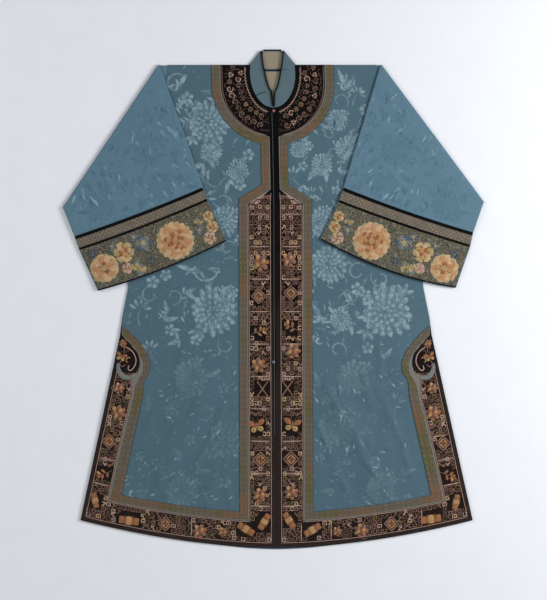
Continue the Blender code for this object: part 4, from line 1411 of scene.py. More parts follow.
for side in ("left", "right"):
    levels = [level for level in ROWS if level <= NECK_EDGE]
    points = [place(side, *neck_point(level, NECK_ROOM), COLLAR_HIGH) for level in levels]
    pipe(f"neck_piping_{side}_cord", points, NECK_PIPE, satin, f"neck_piping_{side}")
    clear = COLLAR_HIGH + COLLAR / 2 + COLLAR_PIPE + SEAM_GAP
    points = [place(side, COLLAR_PIPE + SEAM_GAP / 2, NECK_DEPTH - 0.006, clear)]
    points += [place(side, u, v, clear) for _, u, v, turn in COLLAR_STATIONS if turn == 180]
    pipe(f"collar_piping_{side}_cord", points, COLLAR_PIPE, satin, f"collar_piping_{side}")
low = PANEL + SEAM_GAP + BACK_PIPE + 0.0012
points = [place("right", u, v, low) for u, v in NECK_BACK]
pipe("neck_piping_back_cord", points, BACK_PIPE, satin, "neck_piping_back")
clear = COLLAR_PIPE * 0.4
points = [place("right", u, v - clear, COLLAR_PIPE) for u, v in COLLAR_RIM]
pipe("collar_piping_back_cord", points, COLLAR_PIPE, satin, "collar_piping_back")
clear = COLLAR_HIGH + COLLAR / 2 + 0.0006
for name, spots, look in (("collar_seam_cord", COLLAR_SEAM, satin),
                          ("collar_end_cord", COLLAR_END, pale_braid)):
    pipe(name, [place("left", u, v, clear) for u, v in spots], SEAM_CORD, look, None)
low = TRIM_Z + TRIM + 0.0002
points = [place("left", EDGE_CORD_OUT, v / 100, low + relief(-EDGE_CORD_OUT, v / 100))
          for v in range(12, 99, 3)]
pipe("front_edge_cord", points, EDGE_CORD, edge_braid, None)
points = [place("left", 0.0, v / 100, TRIM_Z + relief(0.0, v / 100)) for v in range(12, 126, 3)]
pipe("front_fold_cord", points, FOLD_CORD, satin, None)

# %% [markdown]
# The robe closes with small knot buttons, which are tied from a silk cord. Each is a ball whose surface is
# the cord's own crossings, here a low woven relief.

# %% Knot buttons
BUTTON, BUTTON_SQUASH = 0.0040, 0.6


def knot_button(name, side, u, v, look, node):
    middle = place(side, u, v, TRIM_TOP + 2 * SEAM_GAP + BUTTON_SQUASH * BUTTON)
    bm = bmesh.new()
    bm.loops.layers.uv.new("weave")
    bmesh.ops.create_uvsphere(bm, u_segments=36, v_segments=20, radius=BUTTON)
    for vertex in bm.verts:
        around, height = math.atan2(vertex.co.y, vertex.co.x), vertex.co.z / BUTTON
        crossing = abs(math.sin(2.5 * around + 3.0 * height)) * abs(math.sin(2.5 * around - 3.0 * height))
        vertex.co *= 0.90 + 0.10 * crossing ** 0.5
        vertex.co.z *= BUTTON_SQUASH
        vertex.co += middle
    return dress(name, bm, [look], [node])


pink_cord = corded_braid("pink_cord", dye(146, 108, 100), dye(76, 50, 47))
knot_button("button_neck_knot", "right", 0.0005, 0.1200, pink_cord, "button_neck")
blue_cord = plain_silk("blue_cord", dye(104, 114, 128))
knot_button("button_front_knot", "left", 0.0060, 0.7720, blue_cord, "button_front")

# %% [markdown]
# The black bands are covered with needlework. Three kinds are used here: a cord laid on the satin and held
# by tiny stitches, padded satin stitch for petals and emblems, and small knots. Each is a low raised form,
# because raised thread catches the light from the side as the real work does. All stitches of one piece
# are gathered in one mesh, with one material for each thread.

# %% Threads
def silk_thread(name, base, shade):
    """Silk floss laid side by side: fine lines along the stitch, with painted shade between them."""
    thread = Finish(name)
    line = thread.weave.part("Y").wave(0.0007)
    tone = thread.place.noise(110.0, 2.0)
    fray = thread.place.noise(700.0, 2.0)
    colour = thread.colour(base).over(thread.colour(shade), line * 0.6 + fray * 0.4)
    colour = colour.tinted(0.70, 1.28, tone)
    return thread.fill(colour, 0.55 + (fray - 0.5) * 0.2, line + fray * 0.5, 0.0003, specular_ior_level=0.22)


THREADS = {
    # name: colour of the lit thread, painted shade between the threads
    "rose": (dye(150, 115, 100), dye(85, 55, 47)),
    "taupe": (dye(115, 91, 74), dye(63, 44, 38)),
    "gold": (dye(146, 122, 86), dye(83, 63, 40)),
    "orange": (dye(166, 110, 72), dye(115, 68, 43)),
    "yellow": (dye(188, 160, 98), dye(128, 100, 54)),
    "peach": (dye(190, 146, 102), dye(152, 106, 70)),
    "pale_peach": (dye(202, 172, 134), dye(166, 132, 98)),
    "pink": (dye(198, 168, 152), dye(146, 112, 100)),
    "blue": (dye(86, 104, 124), dye(48, 60, 74)),
    "green": (dye(88, 97, 70), dye(50, 58, 40)),
    "mist": (dye(126, 130, 126), dye(90, 94, 92)),
    "black": (dye(34, 28, 28), dye(16, 14, 16)),
    "straw": (dye(186, 172, 130), dye(126, 110, 76)),
}
THREAD_NAMES = list(THREADS)
threads = [silk_thread(f"thread_{name}", *THREADS[name]) for name in THREAD_NAMES]

# %% [markdown]
# One class lays all the stitches of a piece. Each stitch is placed by its points on the floor plan, and the
# height of the cloth under it lifts it to the top of the band or cuff that carries it.

# %% Laying the stitches
class Needlework:
    """Raised stitches gathered in one mesh, on the height of the cloth that carries them."""

    def __init__(self, height):
        self.height = height
        self.bm = bmesh.new()
        self.weave = self.bm.loops.layers.uv.new("weave")

    def point(self, x, y, rise):
        return self.bm.verts.new((x, y, self.height(x, y) + rise))

    def face(self, corners, spots, thread):
        made = self.bm.faces.new(corners)
        made.material_index = THREAD_NAMES.index(thread)
        for loop, spot in zip(made.loops, spots):
            loop[self.weave].uv = spot

    def cord(self, points, width, rise, thread, lift=0.0, swell=False):
        """A cord laid along some points, its edges sunk into the cloth, fuller in its middle with swell."""
        rows, run = [], 0.0
        for index, (x, y) in enumerate(points):
            before, after = points[max(0, index - 1)], points[min(len(points) - 1, index + 1)]
            dx, dy = after[0] - before[0], after[1] - before[1]
            size = math.hypot(dx, dy) or 1.0
            if index:
                run += math.hypot(x - points[index - 1][0], y - points[index - 1][1])
            end = 0.55 if index in (0, len(points) - 1) else 1.0
            if swell:
                end = 0.2 + 0.8 * math.sin(math.pi * (index + 0.5) / len(points)) ** 0.7
            aside = (-dy / size * width / 2 * end, dx / size * width / 2 * end)
            rows.append(([self.point(x + aside[0] * part, y + aside[1] * part, lift + rise * high * end)
                          for part, high in ((1, -0.2), (0.5, 0.8), (-0.5, 0.8), (-1, -0.2))], run))
        for (low, start), (high, stop) in zip(rows, rows[1:]):
            for lane in range(3):
                self.face((low[lane], high[lane], high[lane + 1], low[lane + 1]),
                          ((lane * 0.0007, start), (lane * 0.0007, stop),
                           (lane * 0.0007 + 0.0007, stop), (lane * 0.0007 + 0.0007, start)), thread)

    def pad(self, outline, rise, thread, turn=0.0, lift=0.0):
        """Padded satin stitch: a low dome over an outline."""
        middle = np.mean(outline, axis=0)
        ax, ay = math.cos(math.radians(turn)), math.sin(math.radians(turn))
        rings = []
        for share, high in ((1.0, -0.2), (0.86, 0.62), (0.5, 1.0)):
            spots = [(middle[0] + (x - middle[0]) * share, middle[1] + (y - middle[1]) * share)
                     for x, y in outline]
            rings.append([(self.point(x, y, lift + rise * high), (x * ax + y * ay, y * ax - x * ay))
                          for x, y in spots])
        top = (self.point(*middle, lift + rise),
               (middle[0] * ax + middle[1] * ay, middle[1] * ax - middle[0] * ay))
        for outer, inner in zip(rings, rings[1:]):
            for index in range(len(outline)):
                other = (index + 1) % len(outline)
                picked = (outer[index], outer[other], inner[other], inner[index])
                self.face([corner for corner, _ in picked], [spot for _, spot in picked], thread)
        for index in range(len(outline)):
            picked = (rings[-1][index], rings[-1][(index + 1) % len(outline)], top)
            self.face([corner for corner, _ in picked], [spot for _, spot in picked], thread)

    def knot(self, x, y, size, thread):
        self.pad([(x + size * math.cos(math.tau * step / 6), y + size * math.sin(math.tau * step / 6))
                  for step in range(6)], size * 0.6, thread)

    def done(self, name):
        face_up(self.bm)
        print(name, len(self.bm.faces), "faces of stitches")
        return dress(name, self.bm, threads, ())


# %% [markdown]
# The emblems on the bands are old good-luck forms of the kind that such borders share: flowers, lozenges,
# tied scrolls, crossed bars, moths and sprigs. Each is built from petals and cords round its own centre.

# %% Emblems of the bands
FLOWER_HUES = ("orange", "rose", "peach", "taupe", "gold")
SCROLL_OUTLINE = ((-1, -0.8), (-0.6, -1), (0.6, -1), (1, -0.8), (1, 0.8), (0.6, 1), (-0.6, 1), (-1, 0.8))
MOTH_WINGS = ((35, 1.0, "orange"), (145, 1.0, "orange"), (-40, 0.72, "yellow"), (220, 0.72, "yellow"))
SPRIG_LEAVES = ((-0.5, 60, "rose"), (-0.2, -55, "orange"), (0.15, 58, "orange"), (0.4, -50, "peach"))


def petals_on(work, at, size, turn, count, hues, start=0.12, wide=0.9, rise=0.0008, lift=0.0):
    """A ring of padded petals in turning thread colours."""
    for number in range(count):
        angle = turn + 360.0 * number / count
        shape = petal(reached(at, angle, size * start), angle, size * (1 - start),
                      math.tau * size * 0.6 / count * wide, 0.64)
        work.pad(shape, rise, hues[number % len(hues)], angle, lift)


def bent(at, size, turn, steps):
    """Points of a bent stem, each step a reach in sizes and a turn off the stem's own."""
    return [reached(at, turn + bend, size * run) for run, bend in steps]


def flower(work, at, size, turn):
    petals_on(work, at, size, turn, 7, FLOWER_HUES, start=0.3, wide=1.1)
    petals_on(work, at, size * 0.66, turn + 20, 6, ("peach", "taupe", "orange"), wide=1.15, lift=0.0005)
    work.knot(*at, size * 0.16, "rose")
    for angle in (turn + 30, turn + 150, turn + 270):
        work.cord(bent(at, size, angle, ((0.9, 0), (1.1, 8), (1.25, 26), (1.2, 44))), 0.0018, 0.0006, "gold")


def lozenge(work, at, size, turn):
    for reach, width, hue in ((0.95, 0.0042, "rose"), (0.58, 0.0032, "peach")):
        corners = [reached(at, turn + angle, size * reach) for angle in (0, 90, 180, 270, 360)]
        path = []
        for a, b in zip(corners, corners[1:]):
            path += [(a[0] + (b[0] - a[0]) * part, a[1] + (b[1] - a[1]) * part)
                     for part in (0.0, 0.33, 0.67)]
        work.cord(path + [corners[-1]], width, 0.0008, hue)
    petals_on(work, at, size * 0.40, turn + 45, 4, ("orange", "taupe"), wide=1.2)


def tied_scroll(work, at, size, turn):
    """A rolled scroll: a long padded bar with two ends and a tie."""
    for shift, length, hue in ((-0.66, 0.52, "orange"), (0.0, 0.56, "peach"), (0.66, 0.52, "orange")):
        centre = reached(at, turn, size * shift)
        half = size * (0.40 if shift == 0.0 else 0.34)
        shape = []
        for along_part, across_part in SCROLL_OUTLINE:
            x, y = reached(centre, turn, along_part * size * length / 2)
            shape.append(reached((x, y), turn + 90, across_part * half))
        work.pad(shape, 0.0011, hue, turn + 90)
    for part in (-0.34, 0.34):
        centre = reached(at, turn, size * part)
        work.cord([reached(centre, turn + 90, size * across) for across in (-0.44, -0.2, 0.2, 0.44)],
                  0.0016, 0.0006, "yellow", 0.0008)


def crossed_bars(work, at, size, turn):
    for angle, hue in ((turn + 55, "rose"), (turn + 125, "gold")):
        bar = [reached(at, angle, size * part) for part in (-1.0, -0.5, 0.0, 0.5, 1.0)]
        work.cord(bar, 0.0036, 0.0009, hue)
        for end in (-1.0, 1.0):
            work.knot(*reached(at, angle, size * end), 0.0028, "orange")


def moth(work, at, size, turn):
    """A moth: two large and two small wings, a body and two feelers."""
    for angle, length, hue in MOTH_WINGS:
        root = reached(at, turn + angle, size * 0.08)
        work.pad(petal(root, turn + angle, size * length, size * 0.62), 0.0010, hue, turn + angle)
        work.knot(*reached(at, turn + angle, size * length * 0.66), size * 0.12, "rose")
    tail = reached(at, turn + 90, -size * 0.5)
    work.pad(petal(tail, turn + 90, size, size * 0.2), 0.0012, "rose", turn + 90, 0.0004)
    for angle in (72, 108):
        feeler = [reached(at, turn + angle, size * run) for run in (0.5, 0.8, 1.05)]
        work.cord(feeler, 0.0012, 0.0005, "gold")


def sprig(work, at, size, turn):
    """Four leaves and a bud on a bent stem."""
    work.cord(bent(at, size, turn, ((-1.0, 0), (-0.5, -10), (0.0, 0), (0.5, 14))), 0.0018, 0.0007, "gold")
    for shift, angle, hue in SPRIG_LEAVES:
        root = reached(at, turn, size * shift)
        work.pad(petal(root, turn + angle, size * 0.72, size * 0.36), 0.0009, hue, turn + angle)
    petals_on(work, reached(at, turn, size * 0.72), size * 0.36, turn, 5, ("orange", "yellow"))


EMBLEMS = {"flower": flower, "lozenge": lozenge, "scroll": tied_scroll, "bars": crossed_bars, "moth": moth,
           "sprig": sprig}
EMBLEMS_LEFT = (
    ("flower", -33, 515, 23.4, 10), ("lozenge", -38, 601, 19.5, 0), ("sprig", -38, 694, 20.8, 20),
    ("flower", -38, 780, 20.8, 40), ("bars", -28, 842, 20.8, 0), ("moth", -43, 939, 24.7, 10),
    ("lozenge", -33, 1026, 20.8, 0), ("flower", -35, 1118, 19.5, 0), ("scroll", -23, 1187, 24.7, 58),
    ("scroll", -71, 1206, 26, -32), ("flower", -402, 904, 20.8, 30), ("lozenge", -426, 978, 19.5, 0),
    ("sprig", -439, 1061, 20.8, 200), ("scroll", -463, 1131, 22.1, -78), ("scroll", -375, 1184, 28.6, -8),
    ("lozenge", -280, 1192, 19.5, 0), ("flower", -191, 1212, 19.5, 20), ("flower", -131, 1214, 13, 0),
    ("moth", -395, 759, 15.6, -20), ("flower", -390, 724, 10.4, 0), ("flower", -401, 840, 15.6, 0),
)
EMBLEMS_RIGHT = (
    ("flower", 41, 506, 20, 30), ("lozenge", 46, 593, 19.5, 0), ("sprig", 47, 680, 20.8, 150),
    ("flower", 51, 743, 20.8, 0), ("bars", 37, 840, 20.8, 0), ("moth", 49, 936, 24.7, -10),
    ("lozenge", 46, 1024, 20.8, 0), ("flower", 47, 1111, 19.5, 20), ("scroll", 41, 1183, 24.7, 122),
    ("scroll", 102, 1208, 26, 32), ("flower", 415, 905, 20.8, 10), ("lozenge", 441, 983, 19.5, 0),
    ("sprig", 453, 1066, 20.8, -20), ("scroll", 475, 1136, 22.1, 78), ("scroll", 410, 1180, 28.6, 8),
    ("lozenge", 307, 1192, 19.5, 0), ("flower", 228, 1210, 19.5, 0), ("flower", 166, 1212, 13, 20),
    ("moth", 406, 759, 15.6, 20), ("flower", 401, 724, 10.4, 0), ("flower", 413, 840, 15.6, 0),
)
print("emblems on the bands:", len(EMBLEMS_LEFT) + len(EMBLEMS_RIGHT))

# %% [markdown]
# Between the emblems the bands are filled with a key fret, a line that turns in square hooks. A lattice of
# small cells is laid along each band, a hook is drawn in each cell, and cells that an emblem covers are
# left out. Hand-laid cord is never exact, so each hook is a little off its place.

# %% Key fret along the bands
FRET_CELL = 0.0130
FRET_HUES = ("rose", "taupe", "rose", "gold", "taupe", "pink", "taupe", "rose", "pale_peach")
EMBLEM_ROOM = 0.80
HOOKS = (
    ((0.02, 0.15), (0.86, 0.15), (0.86, 0.84), (0.22, 0.84), (0.22, 0.48), (0.56, 0.48)),
    ((0.15, 0.98), (0.15, 0.16), (0.84, 0.16), (0.84, 0.76), (0.48, 0.76)),
    ((0.10, 0.20), (0.52, 0.20), (0.52, 0.56), (0.90, 0.56), (0.90, 0.90), (0.20, 0.90)),
    ((0.16, 0.06), (0.16, 0.86), (0.88, 0.86), (0.88, 0.22), (0.50, 0.22), (0.50, 0.54)),
)


def band_spot(region, run, share):
    """A point (u, v) of the embroidered band: share runs from its binding to its braid."""
    if region == "front":
        return seam_spot(run, 1 + share)
    if region == "side":
        return seam_spot(run, 8 - share)
    level = HEM_ROWS[3] - share * HEM_BAND
    return run, level - hem_bend(level) * (run / HALF_HEM) ** HEM_BEND


def fret_lines():
    """Hooks of the whole band as (u, v) points with a thread, the same for both fronts."""
    made = []
    hem_end = along(SIDE, CORNER) - SIDE_BINDING - 0.004
    spans = (("front", 0.338, HEM_ROWS[2], 5), ("hem", BINDING + 0.003, hem_end, 4),
             ("side", 0.805, HEM_ROWS[2], 4))
    for region, start, stop, lanes in spans:
        cells = round((stop - start) / FRET_CELL)
        for cell in range(cells):
            for lane in range(lanes):
                hook = HOOKS[CHOICE.randrange(4)]
                flip = CHOICE.random() < 0.5
                shift = (CHOICE.uniform(-0.06, 0.06), CHOICE.uniform(-0.06, 0.06))
                hue = CHOICE.choice(FRET_HUES)
                path = []
                for a, b in zip(hook, hook[1:]):
                    path += [a, ((a[0] + b[0]) / 2, (a[1] + b[1]) / 2)]
                path.append(hook[-1])
                line = []
                for x, y in path:
                    x = 1 - x if flip else x
                    run = start + (stop - start) * (cell + x + shift[0]) / cells
                    line.append(band_spot(region, run, 0.07 + 0.86 * (lane + y + shift[1]) / lanes))
                made.append((line, hue))
        for run in spread((start + 0.05, stop - 0.04), 0.085):
            made.append(([band_spot(region, run, 0.08 + 0.14 * step) for step in range(7)], "pink"))
    return made


FRET = fret_lines()
print("hooks of the key fret:", len(FRET))


def edge_path(share):
    """The line at one share of the band's width: down the front, along the hem and up the slit."""
    level = HEM_ROWS[3] - share * HEM_BAND
    path = [band_spot("front", run, share) for run in spread((0.332, level), 0.012)]
    end = seam_spot(level, 8 - share)
    path += [band_spot("hem", run, share) for run in spread((path[-1][0], end[0]), 0.012)[1:]]
    path += [band_spot("side", -run, share) for run in spread((-level, -0.80), 0.012)[1:]]
    return path


EDGE_CORDS = ((0.035, 0.0016, "pink"), (0.965, 0.0016, "pink"))
edge_lines = [(edge_path(share), width, hue) for share, width, hue in EDGE_CORDS]


def clear_of(x, y, emblems):
    return all(math.hypot(x - at[0], y - at[1]) > size * EMBLEM_ROOM for _, at, size, _ in emblems)


def front_height(x, y):
    return TRIM_TOP + relief(*measure((x, y)))


# %% [markdown]
# The round yoke carries looser work than the bands: a wavy pink cord round the neck, then open scrolls
# of rose and taupe cord with small flowers among them, and leafy commas in the gaps, on plain black satin.

# %% Scrolls of the yoke
YOKE_ARCS = (
    # reach from the yoke's centre, room along the arc for one scroll, flower or pair of commas
    (0.0885, 0.0172), (0.1125, 0.0184), (0.1005, 0.0100), (0.0770, 0.0090), (0.1240, 0.0090),
    (0.0700, 0.0080), (0.0950, 0.0075), (0.1065, 0.0075), (0.1180, 0.0075),
)
YOKE_HUES = ("rose", "taupe", "rose", "rose", "pink")
YOKE_COMMAS = ("taupe", "taupe", "rose", "green")
YOKE_FLOWERS = (("pink", "rose"), ("rose", "gold"), ("rose", "taupe"), ("peach", "rose"), ("pink", "taupe"))


def on_yoke(u, v, room):
    return (u > BINDING + room and v > room and u > neck(v) + room + 0.003
            and front_line(RIBBON + BRAID, v) > u + room)


def open_scroll(work, at, size, turn, hue, hand):
    """A cord that bends round four fifths of a turn and tightens."""
    work.cord([reached(at, turn + hand * 330 * step / 10, size * (1 - 0.62 * (step / 10) ** 1.4))
               for step in range(11)], 0.0025, 0.0008, hue)


def yoke_work(work, side):
    """A cord along the rim, a wavy one round the neck, then scrolls, flowers and commas on arcs about it."""
    levels = [0.004 + 0.0022 * step for step in range(84)]
    rim = [(front_line(RIBBON + BRAID, v) - 0.0034, v) for v in levels]
    work.cord([place(side, u, v)[:2] for u, v in rim if u > BINDING + 0.002], 0.0019, 0.0006, "rose")
    inner = []
    for step in range(-10, 64):
        angle, room = math.radians(1.4 * step), 0.0112 + 0.0019 * math.sin(1.9 * step)
        u = (NECK_HALF + room) * math.cos(angle)
        v = NECK_LEVEL + (NECK_DEPTH - NECK_LEVEL + room) * math.sin(angle)
        if v > 0.004 and u > BINDING + 0.003:
            inner.append(tuple(place(side, u, v)[:2]))
    work.cord(inner, 0.0020, 0.0008, "pink")
    taken = []
    for reach, gap in YOKE_ARCS:
        angle = -0.62 + 0.5 * gap / reach
        while angle < 1.56:
            far = reach + CHOICE.uniform(-1, 1) * 0.0012
            u, v = far * math.cos(angle), YOKE_LEVEL + far * math.sin(angle)
            angle += gap / reach
            size = 0.5 * gap * CHOICE.uniform(0.86, 1.0)
            if not on_yoke(u, v, size * 0.85) or any(math.dist((u, v), (a, b)) < size + other - 0.001
                                                      for a, b, other in taken):
                continue
            taken.append((u, v, size))
            at, turn, pick = tuple(place(side, u, v)[:2]), CHOICE.uniform(0, 360), CHOICE.random()
            hue = CHOICE.choice(YOKE_HUES)
            if gap < 0.015:
                for bend in (0, 140):
                    work.pad(petal(at, turn + bend, size * 1.1, size * 0.5), 0.0006,
                             CHOICE.choice(YOKE_COMMAS), turn)
            elif pick < 0.70:
                open_scroll(work, at, size, turn, hue, CHOICE.choice((-1, 1)))
                open_scroll(work, at, size * 0.42, turn + 160, "taupe", 1)
            else:
                petals_on(work, at, size * 0.9, turn, 6, CHOICE.choice(YOKE_FLOWERS), start=0.2)
                work.knot(*at, 0.0015, "gold")


for side, table in (("left", EMBLEMS_LEFT), ("right", EMBLEMS_RIGHT)):
    work = Needlework(front_height)
    emblems = list(in_metres(table))
    for line, hue in FRET:
        spots = [place(side, u, v)[:2] for u, v in line]
        if all(clear_of(x, y, emblems) for x, y in spots[::2]):
            work.cord(spots, 0.0026, 0.0007, hue)
    for line, width, hue in edge_lines:
        work.cord([place(side, u, v)[:2] for u, v in line], width, 0.0007, hue)
    for kind, at, size, turn in emblems:
        EMBLEMS[kind](work, at, size, turn)
    work.done(f"border_{side}_needlework")

    work = Needlework(front_height)
    yoke_work(work, side)
    work.done(f"yoke_{side}_needlework")

# %% [markdown]
# At the top of each slit the bands end in a cloud head. A broad pale cord curls round inside it like a
# comma, with a thinner rose cord beside it and a dark gap between the two.

# %% Scrolls of the cloud heads
CLOUD_CORDS = (
    # places in from the side seam and down, width, thread, height, fuller in the middle
    (((0.0110, 0.775), (0.0150, 0.790), (0.0235, 0.803), (0.0360, 0.812), (0.0500, 0.811), (0.0600, 0.802)),
     0.0150, "mist", 0.0009, True),
    (((0.0040, 0.705), (0.0130, 0.712), (0.0270, 0.727), (0.0420, 0.737), (0.0570, 0.752), (0.0650, 0.772),
      (0.0625, 0.790), (0.0530, 0.802), (0.0415, 0.803), (0.0335, 0.794), (0.0330, 0.779), (0.0400, 0.771)),
     0.0026, "black", 0.0012, False),
    (((0.0230, 0.733), (0.0380, 0.742), (0.0500, 0.755), (0.0565, 0.771), (0.0540, 0.786), (0.0470, 0.794),
      (0.0400, 0.790), (0.0405, 0.781)), 0.0030, "pink", 0.0012, False),
    (((0.0060, 0.716), (0.0130, 0.725), (0.0190, 0.736), (0.0200, 0.748)), 0.0024, "rose", 0.0008, False),
    (((0.0120, 0.760), (0.0190, 0.764), (0.0260, 0.760), (0.0290, 0.752)), 0.0024, "gold", 0.0008, False),
    (((0.0300, 0.778), (0.0245, 0.784), (0.0180, 0.781), (0.0150, 0.773), (0.0190, 0.768)),
     0.0026, "rose", 0.0008, False),
    (((0.0400, 0.762), (0.0330, 0.760), (0.0300, 0.768), (0.0350, 0.773)), 0.0026, "peach", 0.0008, False),
    (((0.0330, 0.744), (0.0270, 0.742), (0.0250, 0.748)), 0.0024, "taupe", 0.0008, False),
)
for side in ("left", "right"):
    work = Needlework(front_height)
    for points, width, hue, rise, swell in CLOUD_CORDS:
        rows = eased_rows([[Vector(point)] for point in points], 4)
        spots = [place(side, along(SIDE, spot[1]) - spot[0], spot[1])[:2] for (spot,) in rows]
        work.cord(spots, width, rise, hue, 0.0, swell)
    work.done(f"cloud_{side}_needlework")

# %% [markdown]
# The wide cuff bands carry the richest work: a large peony, a smaller one at the outer corner, leaves and
# small flowers between, on a ground of fine knots. A bloom is built in rings of ruffled petals with a pale
# rim, each ring a little higher and deeper in colour than the one outside it.

# %% Flowers of the cuffs
CUFF_FLOWERS_LEFT = (
    ("peony", -254, 457, 50.2, 180), ("peony_small", -438, 528, 37.7, 200),
    ("flower_yellow", -388, 487, 27.3, 180), ("flower_pale", -349, 528, 20.8, 170),
    ("flower_pink", -378, 529, 14.3, 150), ("flower_mist", -337, 463, 20.8, 180),
    ("flower_mist", -362, 448, 10.9, 140), ("flower_yellow", -169, 394, 14.3, 160),
    ("flower_yellow", -158, 421, 15.6, 180), ("flower_pink", -164, 450, 16.9, 130),
    ("flower_pale", -194, 408, 12, 180), ("flower_mist", -192, 430, 12, 160),
    ("leafs", -315, 484, 15.6, 220), ("leafs", -202, 472, 13, -70), ("leafs", -313, 437, 11.7, 120),
    ("leafs", -417, 487, 13, 160), ("knots_blue", -469, 494, 11.7, 180),
    ("knots_blue", -315, 510, 10.4, 150), ("leafs", -401, 551, 13, -70),
    ("flower_pale", -458, 559, 8.3, 180), ("leafs", -185, 471, 9.1, -20),
    ("flower_mist", -419, 471, 9.4, 180),
)
CUFF_FLOWERS_RIGHT = (
    ("peony", 255, 458, 50.2, 0), ("peony_small", 444, 529, 37.7, -20),
    ("flower_yellow", 389, 487, 27.3, 0), ("flower_pale", 350, 528, 20.8, 10),
    ("flower_pink", 379, 529, 14.3, 30), ("flower_mist", 339, 463, 20.8, 0),
    ("flower_mist", 363, 448, 10.9, 40), ("flower_yellow", 170, 394, 14.3, 20),
    ("flower_yellow", 159, 421, 15.6, 0), ("flower_pink", 166, 450, 16.9, 50),
    ("flower_pale", 196, 408, 12, 0), ("flower_mist", 193, 430, 12, 20), ("leafs", 317, 484, 15.6, -40),
    ("leafs", 203, 472, 13, 250), ("leafs", 314, 437, 11.7, 60), ("leafs", 418, 487, 13, 20),
    ("knots_blue", 470, 494, 11.7, 0), ("knots_blue", 317, 510, 10.4, 30), ("leafs", 402, 551, 13, 250),
    ("flower_pale", 462, 556, 8.8, 0), ("leafs", 187, 471, 9.1, 200), ("flower_mist", 421, 471, 9.4, 0),
)
BLOOMS = {
    # rings from the outside in: reach, how many petals, their threads in turn
    "peony": ((1.0, 19, ("straw", "pale_peach")), (0.91, 16, ("pale_peach", "peach")),
              (0.78, 15, ("peach", "pale_peach", "peach")),
              (0.63, 13, ("peach", "peach", "pale_peach", "orange")),
              (0.48, 11, ("peach", "orange", "peach")), (0.33, 8, ("peach", "orange")),
              (0.18, 5, ("peach", "yellow"))),
    "peony_small": ((1.0, 12, ("straw", "pale_peach")), (0.88, 10, ("pale_peach", "peach")),
                    (0.68, 9, ("peach", "pale_peach")), (0.46, 7, ("peach", "orange", "peach")),
                    (0.22, 4, ("peach", "straw"))),
    "flower_yellow": ((1.0, 6, ("straw", "straw", "pale_peach")), (0.78, 6, ("yellow", "pale_peach")),
                      (0.45, 4, ("orange", "peach"))),
    "flower_pink": ((1.0, 5, ("pink", "straw")), (0.72, 5, ("pink", "pale_peach")),
                    (0.36, 4, ("orange", "pink"))),
    "flower_pale": ((1.0, 6, ("straw", "green", "mist")), (0.66, 5, ("straw", "mist")),
                    (0.34, 3, ("yellow",))),
    "flower_mist": ((1.0, 6, ("mist", "blue")), (0.66, 5, ("mist",)), (0.34, 3, ("straw",))),
}


def bloom(work, at, size, turn, rings):
    """Padded petals ring on ring, each ring a little higher than the one outside it."""
    for level, (reach, count, hues) in enumerate(rings):
        inner = rings[level + 1][0] if level + 1 < len(rings) else 0.0
        for number in range(count):
            angle = turn + level * 17 + 360 * number / count
            length = size * (reach - inner * 0.72) * jitter(0.06 if count > 8 else 0.22)
            wide = math.tau * size * reach / count * (1.02 if count > 8 else 0.80) * jitter(0.14)
            work.pad(petal(reached(at, angle, size * reach - length), angle, length, wide, 0.66), 0.0009,
                     hues[number % len(hues)], angle, 0.0003 * level)


def leaves(work, at, size, turn):
    for angle, hue in ((0, "green"), (55, "green"), (-50, "mist")):
        work.pad(petal(at, turn + angle, size * 1.3, size * 0.42, 0.5), 0.0008, hue, turn + angle)
    work.cord(bent(at, size, turn + 180, ((0.0, 0), (0.6, 10), (1.2, 26))), 0.0016, 0.0006, "gold")


def knots(work, at, size, turn):
    for angle in (0, 72, 144, 216, 288):
        work.knot(*reached(at, turn + angle, size * 0.7), size * 0.34, "blue")
    work.knot(*at, size * 0.3, "mist")


CUFF_DRAW = {"leafs": leaves, "knots_blue": knots}


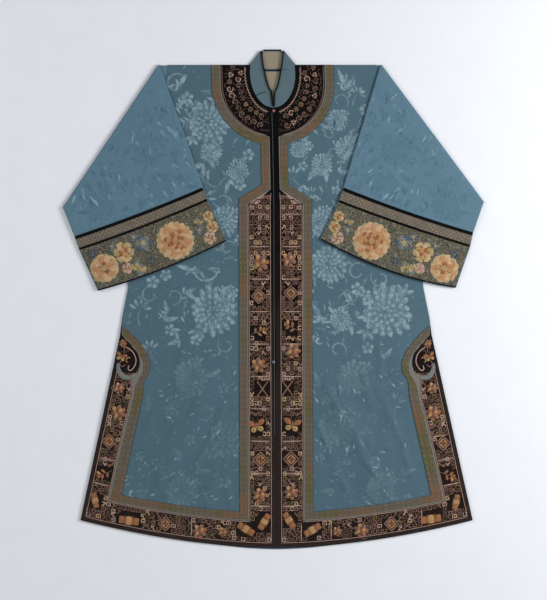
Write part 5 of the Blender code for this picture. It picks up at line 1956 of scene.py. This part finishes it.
def cuff_height(x, y):
    out, v = measure((x, y))
    return 2 * FOLD_AXIS + TRIM_ROOM + TRIM + sleeve_swell("left" if out < 0 else "right", abs(out), v)


for side, table in (("left", CUFF_FLOWERS_LEFT), ("right", CUFF_FLOWERS_RIGHT)):
    work = Needlework(cuff_height)
    for kind, at, size, turn in in_metres(table):
        if kind in BLOOMS:
            bloom(work, at, size, turn, BLOOMS[kind])
        else:
            CUFF_DRAW[kind](work, at, size, turn)
    work.done(f"cuff_{side}_needlework")

# %% [markdown]
# Each cut piece of cloth is listed with the size it was cut to, how it is held, what it rests on, and the
# strips and needlework that are sewn to it. Its cloth area is printed beside the size.

# %% The cut of each piece
def spread_area(name):
    """Half of a closed shell's surface: the cloth's own area."""
    mesh = parts[name].data
    return sum(face.area for face in mesh.polygons) / 2


def sewn_on(side, words):
    return [made for name, made in parts.items() if f"_{side}_" in name and name.startswith(words)]


ON_FRONT = ("binding", "yoke", "border", "braid", "ribbon", "neck_piping", "button", "cloud")
CUTS = (
    # piece, flat width and length, how it is held, what it rests on, what is sewn on
    ("back_panel_silk", 1.02, 1.26, "laid", [], []),
    ("front_left_silk", 0.52, 1.255, "laid", ["back_panel_silk"], sewn_on("left", ON_FRONT)),
    ("front_right_silk", 0.52, 1.255, "laid", ["back_panel_silk"], sewn_on("right", ON_FRONT)),
    ("sleeve_left_silk", 0.76, 0.60, "folded", ["front_left_silk"], sewn_on("left", ("cuff",))),
    ("sleeve_right_silk", 0.76, 0.60, "folded", ["front_right_silk"], sewn_on("right", ("cuff",))),
    ("collar_silk_band", 0.40, 0.06, "folded", ["front_left_silk", "front_right_silk"],
     [parts[f"collar_piping_{side}_cord"] for side in ("left", "right", "back")]),
    ("collar_lining_silk", 0.08, 0.046, "laid", ["collar_silk_band"], []),
    ("neck_lining_silk", 0.12, 0.095, "laid", ["back_panel_silk"], []),
)
for name, width, length, held, under, sewn in CUTS:
    area = min(spread_area(name), width * length)
    print(name, "cloth area", round(spread_area(name), 4), "of", round(width * length, 4))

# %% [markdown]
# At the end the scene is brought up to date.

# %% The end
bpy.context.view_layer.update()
